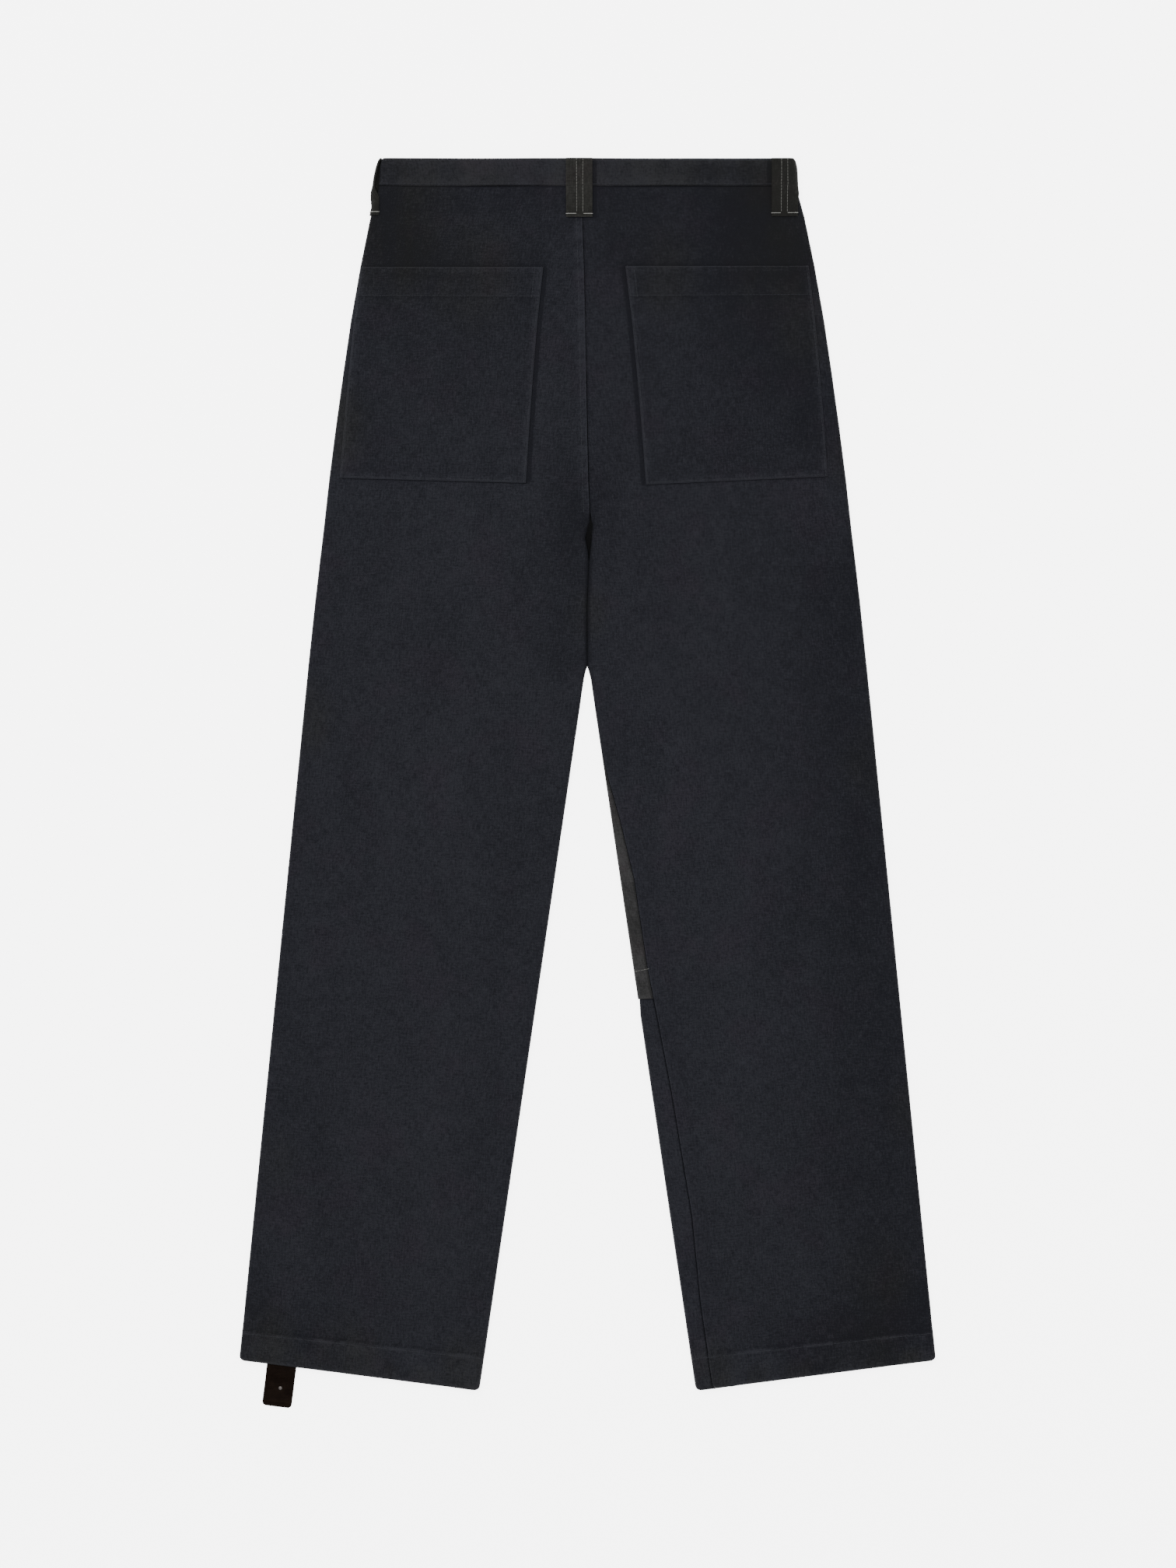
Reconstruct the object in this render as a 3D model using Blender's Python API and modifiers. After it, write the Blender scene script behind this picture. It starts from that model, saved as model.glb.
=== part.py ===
# Work trousers laid flat on their front, with the wearer's back up and the waist at +Y.
# The origin lies on the floor, under the middle of the trousers. All sizes are in metres.
import math
from collections import namedtuple

import bmesh
import bpy
import numpy as np
from mathutils import Vector

# Driving sizes
TOP_Y = 0.5741
BAND_DEPTH = 0.0254
OUTSEAM = 1.1047
CLOTH = 0.00105
BAND_WALL = 0.0016
HEM_WALL = 0.0018
LOOP_WALL = 0.0013
STRAP_WALL = 0.0014
GAP = 0.0003
FOLD_SPREAD = 0.0240
SEAM_UNDER = 0.0012
ROUND_GAP = 0.00045
BAND_MIDDLE = 0.0054
BAND_FOLD = 0.0060

# Sections from the waist seam to the hem. Down is measured along the outseam from the top edge,
# half out to the fold, centre to the seat seam, part from there to the leg's inner fold, and drop
# is how much lower the inner end lies.
Section = namedtuple("Section", "name down half centre part drop")
SECTIONS = [
    Section("waist seam", 0.0257, 0.1918, -0.0060, 0.00015, 0.0),
    Section("under the seam", 0.0375, 0.1950, -0.0053, 0.00015, 0.0),
    Section("loop ends", 0.0547, 0.1997, -0.0045, 0.00015, 0.0),
    Section("pocket mouth", 0.0997, 0.2090, -0.0030, 0.00015, 0.0),
    Section("upper pocket", 0.1500, 0.2178, -0.0019, 0.00015, 0.0),
    Section("mid pocket", 0.2000, 0.2251, -0.0009, 0.00015, 0.0),
    Section("lower pocket", 0.2500, 0.2320, 0.0000, 0.00015, 0.0),
    Section("pocket foot", 0.2974, 0.2380, 0.0011, 0.00015, 0.0),
    Section("seat", 0.3240, 0.2409, 0.0022, 0.00015, 0.0),
    Section("crotch", 0.3350, 0.2421, 0.0022, 0.00090, 0.0003),
    Section("crotch hollow", 0.3480, 0.2436, -0.0002, 0.00200, 0.0007),
    Section("thighs meet", 0.3700, 0.2463, 0.0012, 0.00045, 0.0014),
    Section("groove", 0.4100, 0.2509, -0.0004, 0.00035, 0.0027),
    Section("legs part", 0.4560, 0.2558, -0.0003, 0.00040, 0.0041),
    Section("above the hem", 1.0755, 0.3173, 0.0, 0.0945, 0.0232),
    Section("hem stitch", 1.0785, 0.3177, 0.0, 0.0950, 0.0234),
    Section("hem", OUTSEAM, 0.3204, 0.0, 0.0996, 0.0283),
]

# Knee panel on the front of the right leg, sewn into both side seams, with a free lower edge
KNEE_TOP = 0.5240
KNEE_FOOT = 0.7596
KNEE_RAMP = 0.0140
KNEE_COVER = CLOTH + GAP

# Heights of the two layers lying on each other, in the middle and at the folds
Height = namedtuple("Height", "name down middle fold")
HEIGHTS = [
    Height("waist seam", 0.0257, 0.0047, 0.0060),
    Height("under the seam", 0.0375, 0.0041, 0.0056),
    Height("seat", 0.0547, 0.0039, 0.0055),
    Height("over the knee panel", KNEE_TOP - KNEE_RAMP, 0.0039, 0.0055),
    Height("knee panel top", KNEE_TOP, 0.0039, 0.0059),
    Height("knee panel foot", KNEE_FOOT, 0.0039, 0.0059),
    Height("shin", KNEE_FOOT + KNEE_RAMP, 0.0039, 0.0055),
    Height("above the hem", 1.0755, 0.0039, 0.0055),
    Height("hem stitch", 1.0785, 0.0056, 0.0064),
]

# The curl turns the inner ends of the panels from the flat seat to the legs' inner folds. Draw is
# how far the front panels, which lie below, keep back from the fold at each share of the curl.
CURL_FROM = 0.3260
CURL_TO = 0.3600
CURL_ROWS = [0.3310, 0.3390, 0.3430, 0.3540, CURL_TO]
CURL_CLEAR = 0.0021
Draw = namedtuple("Draw", "curl back")
FRONT_DRAW = [
    Draw(0.0, 0.00015),
    Draw(0.06, 0.00015),
    Draw(0.17, 0.0024),
    Draw(1.0, 0.0042),
]

# How far the right inseam has rolled round the inner fold on to the back side, measured along the
# cloth from the fold. Above the first row, and on the left leg, it lies just under the fold.
Roll = namedtuple("Roll", "name down reach")
ROLL_FROM = 0.4700
RIGHT_ROLL = [
    Roll("comes round", 0.5663, 0.0047),
    Roll("above the knee", 0.6003, 0.0095),
    Roll("knee", 0.6523, 0.0143),
    Roll("below the knee", 0.7300, 0.0145),
    Roll("calf", 0.8410, 0.0195),
    Roll("shin", 0.9540, 0.0215),
    Roll("kink", 1.0324, 0.0175),
    Roll("hem", OUTSEAM, 0.0173),
]
ROLL_ROWS = [ROLL_FROM, 0.4840, 0.4980, 0.5380, 0.5520]

# The waistband's half width from its top edge to its seam, with rounded upper corners
BandRow = namedtuple("BandRow", "down half")
BAND_ROWS = [
    BandRow(0.0, 0.1879),
    BandRow(0.0022, 0.1896),
    BandRow(0.0080, 0.1909),
    BandRow(0.0170, 0.1914),
    BandRow(BAND_DEPTH, 0.1918),
]

# The waistband's grid lines across the front, round each side fold and across the back
BAND_RIGHT_FRONT = [0.035, 0.060, 0.095, 0.135, 0.160]
BAND_PAST_FOLD = [0.0120, 0.0250]
BAND_BACK = [0.130, 0.090, 0.055, 0.030, 0.012, -0.006, -0.023, -0.040, -0.065, -0.100, -0.135]
BAND_LEFT_FRONT = [-0.160, -0.135, -0.100, -0.065, -0.040, -0.031, -0.015]

# The front opening, the band's extension inside it and the hidden tack button
FRONT_OPENING_X = -0.0030
BAND_EXTENSION = 0.0380
EXTENSION_RAMP = 0.0120
BUTTON_X = -0.0230
BUTTON_RADIUS = 0.0085
BUTTON_HEAD = 0.0015
BUTTON_SHANK_RADIUS = 0.0016
BUTTON_HOLE_RADIUS = 0.0022
BUTTON_DOWN = 0.0127

# What lies under the trousers lifts them a little: x, down, how far the lift reaches each way
Lift = namedtuple("Lift", "name x down level_x fade_x level_down fade_down height")
LIFTS = [
    Lift("button", BUTTON_X, BUTTON_DOWN, 0.012, 0.050, 0.010, 0.075, BUTTON_HEAD + GAP),
    Lift("left loop", -0.1900, 0.0270, 0.026, 0.060, 0.030, 0.040, LOOP_WALL + GAP),
]

# Patch pockets. In and down are taken at each corner: in from the side fold, down from the top.
Pocket = namedtuple("Pocket", "side outer_top inner_top outer_foot inner_foot top foot foot_slope")
POCKETS = [
    Pocket(-1, 0.0024, 0.1700, 0.0110, 0.1830, 0.0999, 0.2940, 0.0045),
    Pocket(1, 0.0072, 0.1758, 0.0180, 0.1862, 0.0990, 0.2925, 0.0075),
]
POCKET_ROWS = [0.0, 0.09, 0.26, 0.51, 0.76, 1.0]
POCKET_COLUMNS = [0.0, 0.010, 0.022, 0.05, 0.09, 0.15, 0.27, 0.42, 0.60, 0.80, 1.0]

# Belt loops. First and last are the edges' distances along the waistband from a side fold, turns
# the shares of the fold's quarter turn and steps the distances past it where grid lines lie.
Loop = namedtuple("Loop", "name side first last turns steps bow_out bow_up foot")
LOOPS = [
    Loop("belt_loop_left", -1, -0.0224, 0.0019, [-1, -0.5, 0, 0.5, 1], [-0.0060], 0.0045, 0.0, 0.0526),
    Loop("belt_loop_centre", -1, 0.1736, 0.1979, [], [0.175, 0.181, 0.187], 0.0, 0.0006, 0.0540),
    Loop("belt_loop_right", 1, 0.0, 0.0243, [0.5, 1], [0.0060, 0.0130], 0.0006, 0.0010, 0.0533),
]
LoopStep = namedtuple("LoopStep", "down share")
LOOP_STEPS = [
    LoopStep(0.0, 0.35),
    LoopStep(0.0022, 0.35),
    LoopStep(0.0080, 0.50),
    LoopStep(0.0170, 0.85),
    LoopStep(BAND_DEPTH, 1.0),
    LoopStep(0.0315, 1.0),
    LoopStep(0.0375, 0.65),
    LoopStep(0.0450, 0.0),
]

# Fly shield inside the front opening
SHIELD_TOP = 0.0300
SHIELD_FOOT = 0.1950
SHIELD_LEFT = 0.0380
SHIELD_RIGHT = 0.0050
SHIELD_CURVE = 0.0300

# Strap that hangs out of the left hem: in from the side fold at its middle, and its run past it
STRAP_IN = 0.0370
STRAP_WIDTH = 0.0272
STRAP_TUCK = 0.0150
STRAP_SHOWS = 0.0378
STRAP_CORNER = 0.0032
RIVET_RADIUS = 0.0017
RIVET_HEIGHT = 0.0007
RIVET_FROM_END = 0.0166
RIVET_ASIDE = 0.0013
TURNED_MERGE = 0.00005

# Where the grid lines of the panels lie, in shares of a fold's quarter turn, and in distances
# along the cloth past the fold. Lines that would pass a panel's end are bunched beside it.
TURNS = [-1.0, -0.5, 0.0, 0.5, 1.0]
BACK_STEPS = [0.0050, 0.0120, 0.0220]
BACK_MIDDLE_SHARES = [0.18, 0.38, 0.58, 0.80]
FRONT_STEPS = [0.0100, 0.0240]
FRONT_MIDDLE_SHARES = [0.25, 0.5, 0.75]
ROLLED_SHARES = [0.66, 0.33]
BUNCH = 0.0006

Look = namedtuple("Look", "name colour roughness metallic")
NAVY = Look("navy twill", (0.019, 0.021, 0.028), 0.92, 0.0)
OLIVE = Look("charcoal olive twill", (0.027, 0.027, 0.024), 0.92, 0.0)
LEATHER = Look("black brown leather", (0.010, 0.0065, 0.0050), 0.65, 0.0)
METAL = Look("dull nickel", (0.20, 0.18, 0.17), 0.45, 0.9)


def reading(table, column, down):
    """One column of a table, read between its rows."""
    return float(np.interp(down, [row.down for row in table], [getattr(row, column) for row in table]))


def ease(value):
    """A soft step from 0 to 1."""
    value = min(max(value, 0.0), 1.0)
    return value * value * (3 - 2 * value)


def floor_lift(x, down):
    """How far the cloth's underside is held off the floor at this place."""
    total = 0.0
    for lift in LIFTS:
        across = 1 - ease((abs(x - lift.x) - lift.level_x) / lift.fade_x)
        along = 1 - ease((abs(down - lift.down) - lift.level_down) / lift.fade_down)
        total += lift.height * across * along
    return total


def fold_profile(reach, radius, middle, inset, level=0.0):
    """Distance in from a fold and height, for a point this far along the cloth from the fold.

    Past the fold the upper layer stays at the fold's height for the level distance.
    """
    quarter = math.pi / 2 * radius
    if abs(reach) <= quarter:
        turn = reach / radius
        in_from_fold = radius - (radius - inset) * math.cos(turn)
        return in_from_fold, radius + (radius - inset) * math.sin(turn)
    in_from_fold = radius + abs(reach) - quarter
    if reach < 0:
        return in_from_fold, inset
    swell = 1 - ease((in_from_fold - radius - level) / FOLD_SPREAD)
    return in_from_fold, middle + (2 * radius - middle) * swell - inset


def leg_line(side, down):
    """The plan position of the side fold, the way in from it, and the width, for one section."""
    outer = Vector((side * reading(SECTIONS, "half", down), TOP_Y - down, 0.0))
    part = reading(SECTIONS, "part", down)
    inner_x = reading(SECTIONS, "centre", down) + side * part
    inner = Vector((inner_x, outer.y - reading(SECTIONS, "drop", down), 0.0))
    way = inner - outer
    return outer, way.normalized(), way.length


def lifted(point, down):
    """The point with the lift of what lies under it."""
    return point + Vector((0.0, 0.0, floor_lift(point.x, down)))


def under_fold(down):
    """The reach at which a seam lies just under a fold."""
    return -(math.pi / 4 * reading(HEIGHTS, "fold", down) + SEAM_UNDER)


def roll_at(side, down):
    """Where the inseam lies, along the cloth from the inner fold."""
    under = under_fold(down)
    if side < 0 or down <= ROLL_FROM:
        return under
    first = RIGHT_ROLL[0]
    if down < first.down:
        return under + (first.reach - under) * (down - ROLL_FROM) / (first.down - ROLL_FROM)
    return reading(RIGHT_ROLL, "reach", down)


def from_side(side, down, reach, inset=0.0):
    """A point of the trousers' skin, by its distance along the cloth from the side fold."""
    outer, way, _ = leg_line(side, down)
    radius = reading(HEIGHTS, "fold", down) / 2
    distance, height = fold_profile(reach, radius, reading(HEIGHTS, "middle", down), inset)
    return lifted(outer + way * distance + Vector((0.0, 0.0, height)), down)


def curled(step, radius, middle, curl, inset):
    """Distance in from the edge and height on the upper layer's end, as it curls over and under."""
    arc = math.pi * radius
    turn = math.pi * curl
    bend = arc / turn
    top = middle + (2 * radius - middle) * curl
    foot = max(top - bend * (1 - math.cos(turn)), CURL_CLEAR * (1 - curl))
    along = arc + SEAM_UNDER - step
    start = bend * math.sin(turn) + SEAM_UNDER * math.cos(turn) if curl < 0.5 else bend
    if along <= 0:
        swell = 1 - ease(-along / FOLD_SPREAD)
        return start - along, middle + (top - middle) * swell - inset
    here = turn * min(along / arc, 1.0)
    past = max(along - arc, 0.0)
    height = top - (top - foot) * (1 - math.cos(here)) / (1 - math.cos(turn))
    height = max(height - past * math.sin(turn), 0.0)
    return start - bend * math.sin(here) - past * math.cos(turn), height


def from_inner(side, down, reach, on_top, inset=0.0):
    """A point of the skin by its distance from the inner fold, or by the seat seam above it."""
    outer, way, width = leg_line(side, down)
    middle = reading(HEIGHTS, "middle", down)
    radius = reading(HEIGHTS, "fold", down) / 2
    roll = roll_at(side, down)
    curl = ease((down - CURL_FROM) / (CURL_TO - CURL_FROM))
    if curl == 1.0:
        distance, height = fold_profile(reach, radius, middle, inset, max(roll, 0.0))
    elif not on_top:
        back = float(np.interp(curl, [draw.curl for draw in FRONT_DRAW], [draw.back for draw in FRONT_DRAW]))
        distance, height = back + inner_end(side, down, False) - reach, inset
    elif curl == 0.0:
        distance, height = reach - roll, middle
    else:
        distance, height = curled(reach - roll, radius, middle, curl, inset)
    return lifted(outer + way * (width - distance) + Vector((0.0, 0.0, height)), down)


def inner_end(side, down, on_top):
    """The reach at which a panel ends at the inseam, half a gap from it."""
    roll = roll_at(side, down)
    gap = GAP if roll < under_fold(down) + 0.0001 else ROUND_GAP
    return roll + gap / 2 if on_top else roll - gap / 2


def inner_reaches(side, down, on_top):
    """Where the lines along the inner fold lie, from the panel's end on."""
    quarter = math.pi / 4 * reading(HEIGHTS, "fold", down)
    end = inner_end(side, down, on_top)
    if on_top:
        wanted = [turn * quarter for turn in TURNS] + [quarter + step for step in BACK_STEPS]
        return [end] + [max(reach, end + BUNCH * (i + 1)) for i, reach in enumerate(wanted)]
    if side < 0:
        return [end] + [end - step for step in FRONT_STEPS]
    rolled = max(end - quarter, 0.0)
    wanted = [quarter + share * rolled for share in ROLLED_SHARES]
    wanted += [turn * quarter for turn in reversed(TURNS)] + [-quarter - step for step in FRONT_STEPS]
    return [end] + [min(reach, end - BUNCH * (i + 1)) for i, reach in enumerate(wanted)]


def cover_at(side, down):
    """How far the front panel keeps in to leave room for the knee panel that lies over it."""
    if side < 0:
        return 0.0
    inside = min(down - (KNEE_TOP - KNEE_RAMP), KNEE_FOOT + KNEE_RAMP - down)
    return KNEE_COVER * min(max(inside / KNEE_RAMP, 0.0), 1.0)


def panel_rows(side):
    """The sections that the panels' grid lines follow, from the hem up."""
    tables = SECTIONS + HEIGHTS + (RIGHT_ROLL if side > 0 else [])
    extra = CURL_ROWS + (ROLL_ROWS if side > 0 else [])
    return sorted(set([row.down for row in tables] + extra), reverse=True)


def collection_named(name):
    collection = bpy.data.collections.new(name)
    bpy.context.scene.collection.children.link(collection)
    return collection


def material_for(look):
    material = bpy.data.materials.get(look.name)
    if material:
        return material
    material = bpy.data.materials.new(look.name)
    material.use_nodes = True
    shader = material.node_tree.nodes["Principled BSDF"]
    shader.inputs["Base Color"].default_value = (*look.colour, 1.0)
    shader.inputs["Roughness"].default_value = look.roughness
    shader.inputs["Metallic"].default_value = look.metallic
    return material


def add_object(name, mesh, look, collection):
    mesh.materials.append(material_for(look))
    piece = bpy.data.objects.new(name, mesh)
    collection.objects.link(piece)
    return piece


def bent_grid(name, lines, faces_up):
    """An open grid bent so that line j, point i lies at lines[j][i], facing up or down."""
    rows = len(lines)
    columns = len(lines[0])
    grid = bmesh.new()
    bmesh.ops.create_grid(grid, x_segments=columns - 1, y_segments=rows - 1, size=0.5)
    for vertex in grid.verts:
        column = round((vertex.co.x + 0.5) * (columns - 1))
        row = round((vertex.co.y + 0.5) * (rows - 1))
        vertex.co = lines[row][column]
    grid.normal_update()
    facing = sum(face.normal.z * face.calc_area() for face in grid.faces)
    if (facing > 0) != faces_up:
        bmesh.ops.reverse_faces(grid, faces=grid.faces)
    mesh = bpy.data.meshes.new(name)
    grid.to_mesh(mesh)
    grid.free()
    return mesh


def thicken(piece, wall, thin_share=None):
    """Cloth of this wall, inwards of the grid. With a share, only the group named thick is full."""
    solidify = piece.modifiers.new("wall", "SOLIDIFY")
    solidify.thickness = wall
    solidify.offset = -1.0
    solidify.use_quality_normals = True
    if thin_share is not None:
        solidify.vertex_group = "thick"
        solidify.thickness_vertex_group = thin_share


def mark_hem(piece):
    """Puts the turned up hem in the group whose cloth is doubled."""
    group = piece.vertex_groups.new(name="thick")
    for vertex in piece.data.vertices:
        section = leg_section_of(vertex.co)
        if section >= SECTIONS[-2].down - 0.0002:
            group.add([vertex.index], 1.0, "REPLACE")


def leg_section_of(point):
    """The section on which a point of a leg lies, from its plan position."""
    down = TOP_Y - point.y
    for _ in range(12):
        outer, way, _ = leg_line(-1 if point.x < 0 else 1, down)
        down = TOP_Y - (point.y - way.y / way.x * (point.x - outer.x))
    return down


def across_middle(line, inner, shares, height, down):
    """Joins the two dense ends of a panel's line with a few points between them."""
    near = line[-1]
    far = inner[-1]
    between = []
    for share in shares:
        point = near.lerp(far, share)
        point.z = height + floor_lift(point.x, down)
        between.append(point)
    return line + between + inner[::-1]


def back_line(side, down):
    """One line of a back panel, from under the side fold to the seat seam or inseam."""
    quarter = math.pi / 4 * reading(HEIGHTS, "fold", down)
    reaches = [under_fold(down)] + [turn * quarter for turn in TURNS]
    reaches += [quarter + step for step in BACK_STEPS]
    line = [from_side(side, down, reach) for reach in reaches]
    inner = [from_inner(side, down, reach, True) for reach in inner_reaches(side, down, True)]
    return across_middle(line, inner, BACK_MIDDLE_SHARES, reading(HEIGHTS, "middle", down), down)


def back_panel(name, side, collection):
    lines = [back_line(side, down) for down in panel_rows(side)]
    piece = add_object(name, bent_grid(name, lines, True), NAVY, collection)
    mark_hem(piece)
    thicken(piece, HEM_WALL, CLOTH / HEM_WALL)


def front_line(side, down, inset):
    """One line of a front panel, across the floor from the side seam to the fly or the inseam."""
    start = under_fold(down) - GAP
    line = [from_side(side, down, start - step, inset) for step in [0.0] + FRONT_STEPS]
    reaches = inner_reaches(side, down, False)
    inner = [from_inner(side, down, reach, False, inset) for reach in reaches]
    return across_middle(line, inner, FRONT_MIDDLE_SHARES, inset, down)


def front_panel(name, side, collection):
    lines = [front_line(side, down, cover_at(side, down)) for down in panel_rows(side)]
    piece = add_object(name, bent_grid(name, lines, False), NAVY, collection)
    mark_hem(piece)
    thicken(piece, HEM_WALL, CLOTH / HEM_WALL)


def knee_panel(name, collection):
    downs = [down for down in panel_rows(1) if KNEE_TOP <= down <= KNEE_FOOT]
    lines = [front_line(1, down, 0.0) for down in downs]
    piece = add_object(name, bent_grid(name, lines, False), OLIVE, collection)
    thicken(piece, CLOTH)


def band_point(side, down, reach):
    """A point of the waistband's outer face, by its distance along it from a side fold."""
    distance, height = fold_profile(reach, BAND_FOLD / 2, BAND_MIDDLE, 0.0)
    x = side * (reading(BAND_ROWS, "half", down) - distance)
    return lifted(Vector((x, TOP_Y - down, height)), down)


def band_line(down):
    """The waistband from the tip of its extension, round the right side and back to the opening."""
    def flat(x, height):
        return lifted(Vector((x, TOP_Y - down, height)), down)

    inside = BAND_WALL + GAP
    start = FRONT_OPENING_X + GAP
    quarter = math.pi / 4 * BAND_FOLD
    around = [turn * quarter for turn in reversed(TURNS)]
    line = [flat(start - share * BAND_EXTENSION, inside) for share in (1.0, 0.68, 0.36, 0.0)]
    line += [flat(start + share * EXTENSION_RAMP, inside * (1 - share)) for share in (0.5, 1.0)]
    line += [flat(x, 0.0) for x in BAND_RIGHT_FRONT]
    line += [band_point(1, down, -reach) for reach in BAND_PAST_FOLD[:1] + around]
    line += [band_point(1, down, reach) for reach in BAND_PAST_FOLD]
    line += [flat(x, BAND_MIDDLE) for x in BAND_BACK]
    line += [band_point(-1, down, reach) for reach in BAND_PAST_FOLD[::-1] + around]
    line.append(band_point(-1, down, -BAND_PAST_FOLD[0]))
    line += [flat(x, 0.0) for x in BAND_LEFT_FRONT + [FRONT_OPENING_X]]
    return line


def waistband(name, collection, cutters):
    lines = [band_line(row.down) for row in reversed(BAND_ROWS)]
    mesh = bent_grid(name, lines, False)
    piece = add_object(name, mesh, NAVY, collection)
    thicken(piece, BAND_WALL)
    hole = round_solid("button hole cutter", BUTTON_HOLE_RADIUS, BAND_WALL + 4 * GAP, 16)
    hole.location = (BUTTON_X, TOP_Y - BUTTON_DOWN, BUTTON_HEAD + GAP + BAND_WALL / 2)
    cutters.objects.link(hole)
    hole.hide_render = True
    hole.display_type = "WIRE"
    cut = piece.modifiers.new("button hole", "BOOLEAN")
    cut.operation = "DIFFERENCE"
    cut.object = hole


def round_solid(name, radius, height, sides):
    """A closed cylinder about the origin, as an object in no collection."""
    shape = bmesh.new()
    bmesh.ops.create_cone(
        shape, cap_ends=True, segments=sides, radius1=radius, radius2=radius, depth=height
    )
    mesh = bpy.data.meshes.new(name)
    shape.to_mesh(mesh)
    shape.free()
    return bpy.data.objects.new(name, mesh)


def waist_button(name, collection):
    """A turned button: a flat head under the band and a shank through its hole."""
    head_edge = 0.0004
    shank_top = BUTTON_HEAD + GAP + BAND_WALL
    profile = [
        (0.0, shank_top),
        (BUTTON_SHANK_RADIUS, shank_top),
        (BUTTON_SHANK_RADIUS, BUTTON_HEAD),
        (BUTTON_RADIUS - head_edge, BUTTON_HEAD),
        (BUTTON_RADIUS, BUTTON_HEAD - head_edge),
        (BUTTON_RADIUS, head_edge),
        (BUTTON_RADIUS - head_edge, 0.0),
        (0.0, 0.0),
    ]
    mesh = bpy.data.meshes.new(name)
    mesh.from_pydata([(x, 0.0, z) for x, z in profile], [(i, i + 1) for i in range(7)], [])
    piece = add_object(name, mesh, METAL, collection)
    piece.location = (BUTTON_X, TOP_Y - BUTTON_DOWN, 0.0)
    turn = piece.modifiers.new("turned", "SCREW")
    turn.steps = 28
    turn.render_steps = 28
    turn.use_merge_vertices = True
    turn.merge_threshold = TURNED_MERGE


def loop_reaches(loop, down):
    """Where a loop's grid lines lie from the side fold. It hangs straight where the side flares."""
    on_band = down <= BAND_DEPTH
    quarter = math.pi / 4 * (BAND_FOLD if on_band else reading(HEIGHTS, "fold", down))
    flare = reading(BAND_ROWS if on_band else SECTIONS, "half", down) - BAND_ROWS[-1].half
    if loop.turns:
        flare = max(flare, 0.0)
    first = loop.first + flare
    last = loop.last + flare
    wanted = [turn * quarter for turn in loop.turns]
    wanted += [step + (quarter if step > 0 else -quarter) for step in loop.steps]
    wanted.sort()
    reaches = [first]
    for i, reach in enumerate(wanted):
        reaches.append(min(max(reach, first + BUNCH * (i + 1)), last - BUNCH * (len(wanted) - i)))
    return reaches + [last]


def loop_line(loop, down, share):
    """One line of a belt loop's outer face, over the band and on to the panel below it."""
    base = band_point if down <= BAND_DEPTH else from_side
    line = []
    for reach in loop_reaches(loop, down):
        point = base(loop.side, down, reach)
        ahead = base(loop.side, down, reach + 0.0004)
        behind = base(loop.side, down, reach - 0.0004)
        along = (ahead - behind).normalized()
        out = Vector((along.z, 0.0, -along.x)) * loop.side
        bow = Vector((out.x * loop.bow_out, 0.0, max(out.z, 0.0) * loop.bow_up)) * share
        line.append(point + out * (GAP + LOOP_WALL) + bow)
    return line


def belt_loop(loop, collection):
    steps = LOOP_STEPS + [LoopStep(loop.foot, 0.0)]
    lines = [loop_line(loop, step.down, step.share) for step in reversed(steps)]
    mesh = bent_grid(loop.name, lines, loop.last > 0.01)
    piece = add_object(loop.name, mesh, OLIVE, collection)
    thicken(piece, LOOP_WALL)


def pocket_point(pocket, across, along):
    """A point of a patch pocket's outer face. Both shares run from its upper outer corner."""
    outer = pocket.outer_top + (pocket.outer_foot - pocket.outer_top) * along
    inner = pocket.inner_top + (pocket.inner_foot - pocket.inner_top) * along
    reach = outer + (inner - outer) * across
    foot = pocket.foot + pocket.foot_slope * across
    down = pocket.top + (foot - pocket.top) * along
    point = from_side(pocket.side, down, reach)
    ahead = from_side(pocket.side, down, reach + 0.0004)
    run = (ahead - point).normalized()
    out = Vector((run.z, 0.0, -run.x)) * pocket.side
    return point + out * (GAP + CLOTH)


def patch_pocket(name, pocket, collection):
    lines = []
    for along in reversed(POCKET_ROWS):
        lines.append([pocket_point(pocket, across, along) for across in POCKET_COLUMNS])
    piece = add_object(name, bent_grid(name, lines, True), NAVY, collection)
    thicken(piece, CLOTH)


def fly_shield(name, collection):
    """A strip inside the opening, rounded at its lower left corner."""
    downs = [section.down for section in SECTIONS[1:5]]
    downs = [SHIELD_TOP] + downs + [SHIELD_FOOT - share * SHIELD_CURVE for share in (0.9, 0.5, 0.0)]
    lines = []
    for down in reversed(downs):
        centre = reading(SECTIONS, "centre", down)
        turn = max(down - (SHIELD_FOOT - SHIELD_CURVE), 0.0) / SHIELD_CURVE
        left = SHIELD_LEFT - SHIELD_CURVE * (1 - math.sqrt(max(1 - turn * turn, 0.0)))
        line = []
        for share in [0.0, 0.35, 0.7, 1.0]:
            x = centre - left + (left + SHIELD_RIGHT) * share
            line.append(lifted(Vector((x, TOP_Y - down, CLOTH + GAP)), down))
        lines.append(line)
    piece = add_object(name, bent_grid(name, lines, False), NAVY, collection)
    thicken(piece, CLOTH)


def strap_frame():
    """The middle of the strap at the hem's edge, its way down, and its way across."""
    outer, way, _ = leg_line(-1, OUTSEAM)
    middle = outer + way * STRAP_IN
    return middle, Vector((way.y, -way.x, 0.0)).normalized(), way


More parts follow.
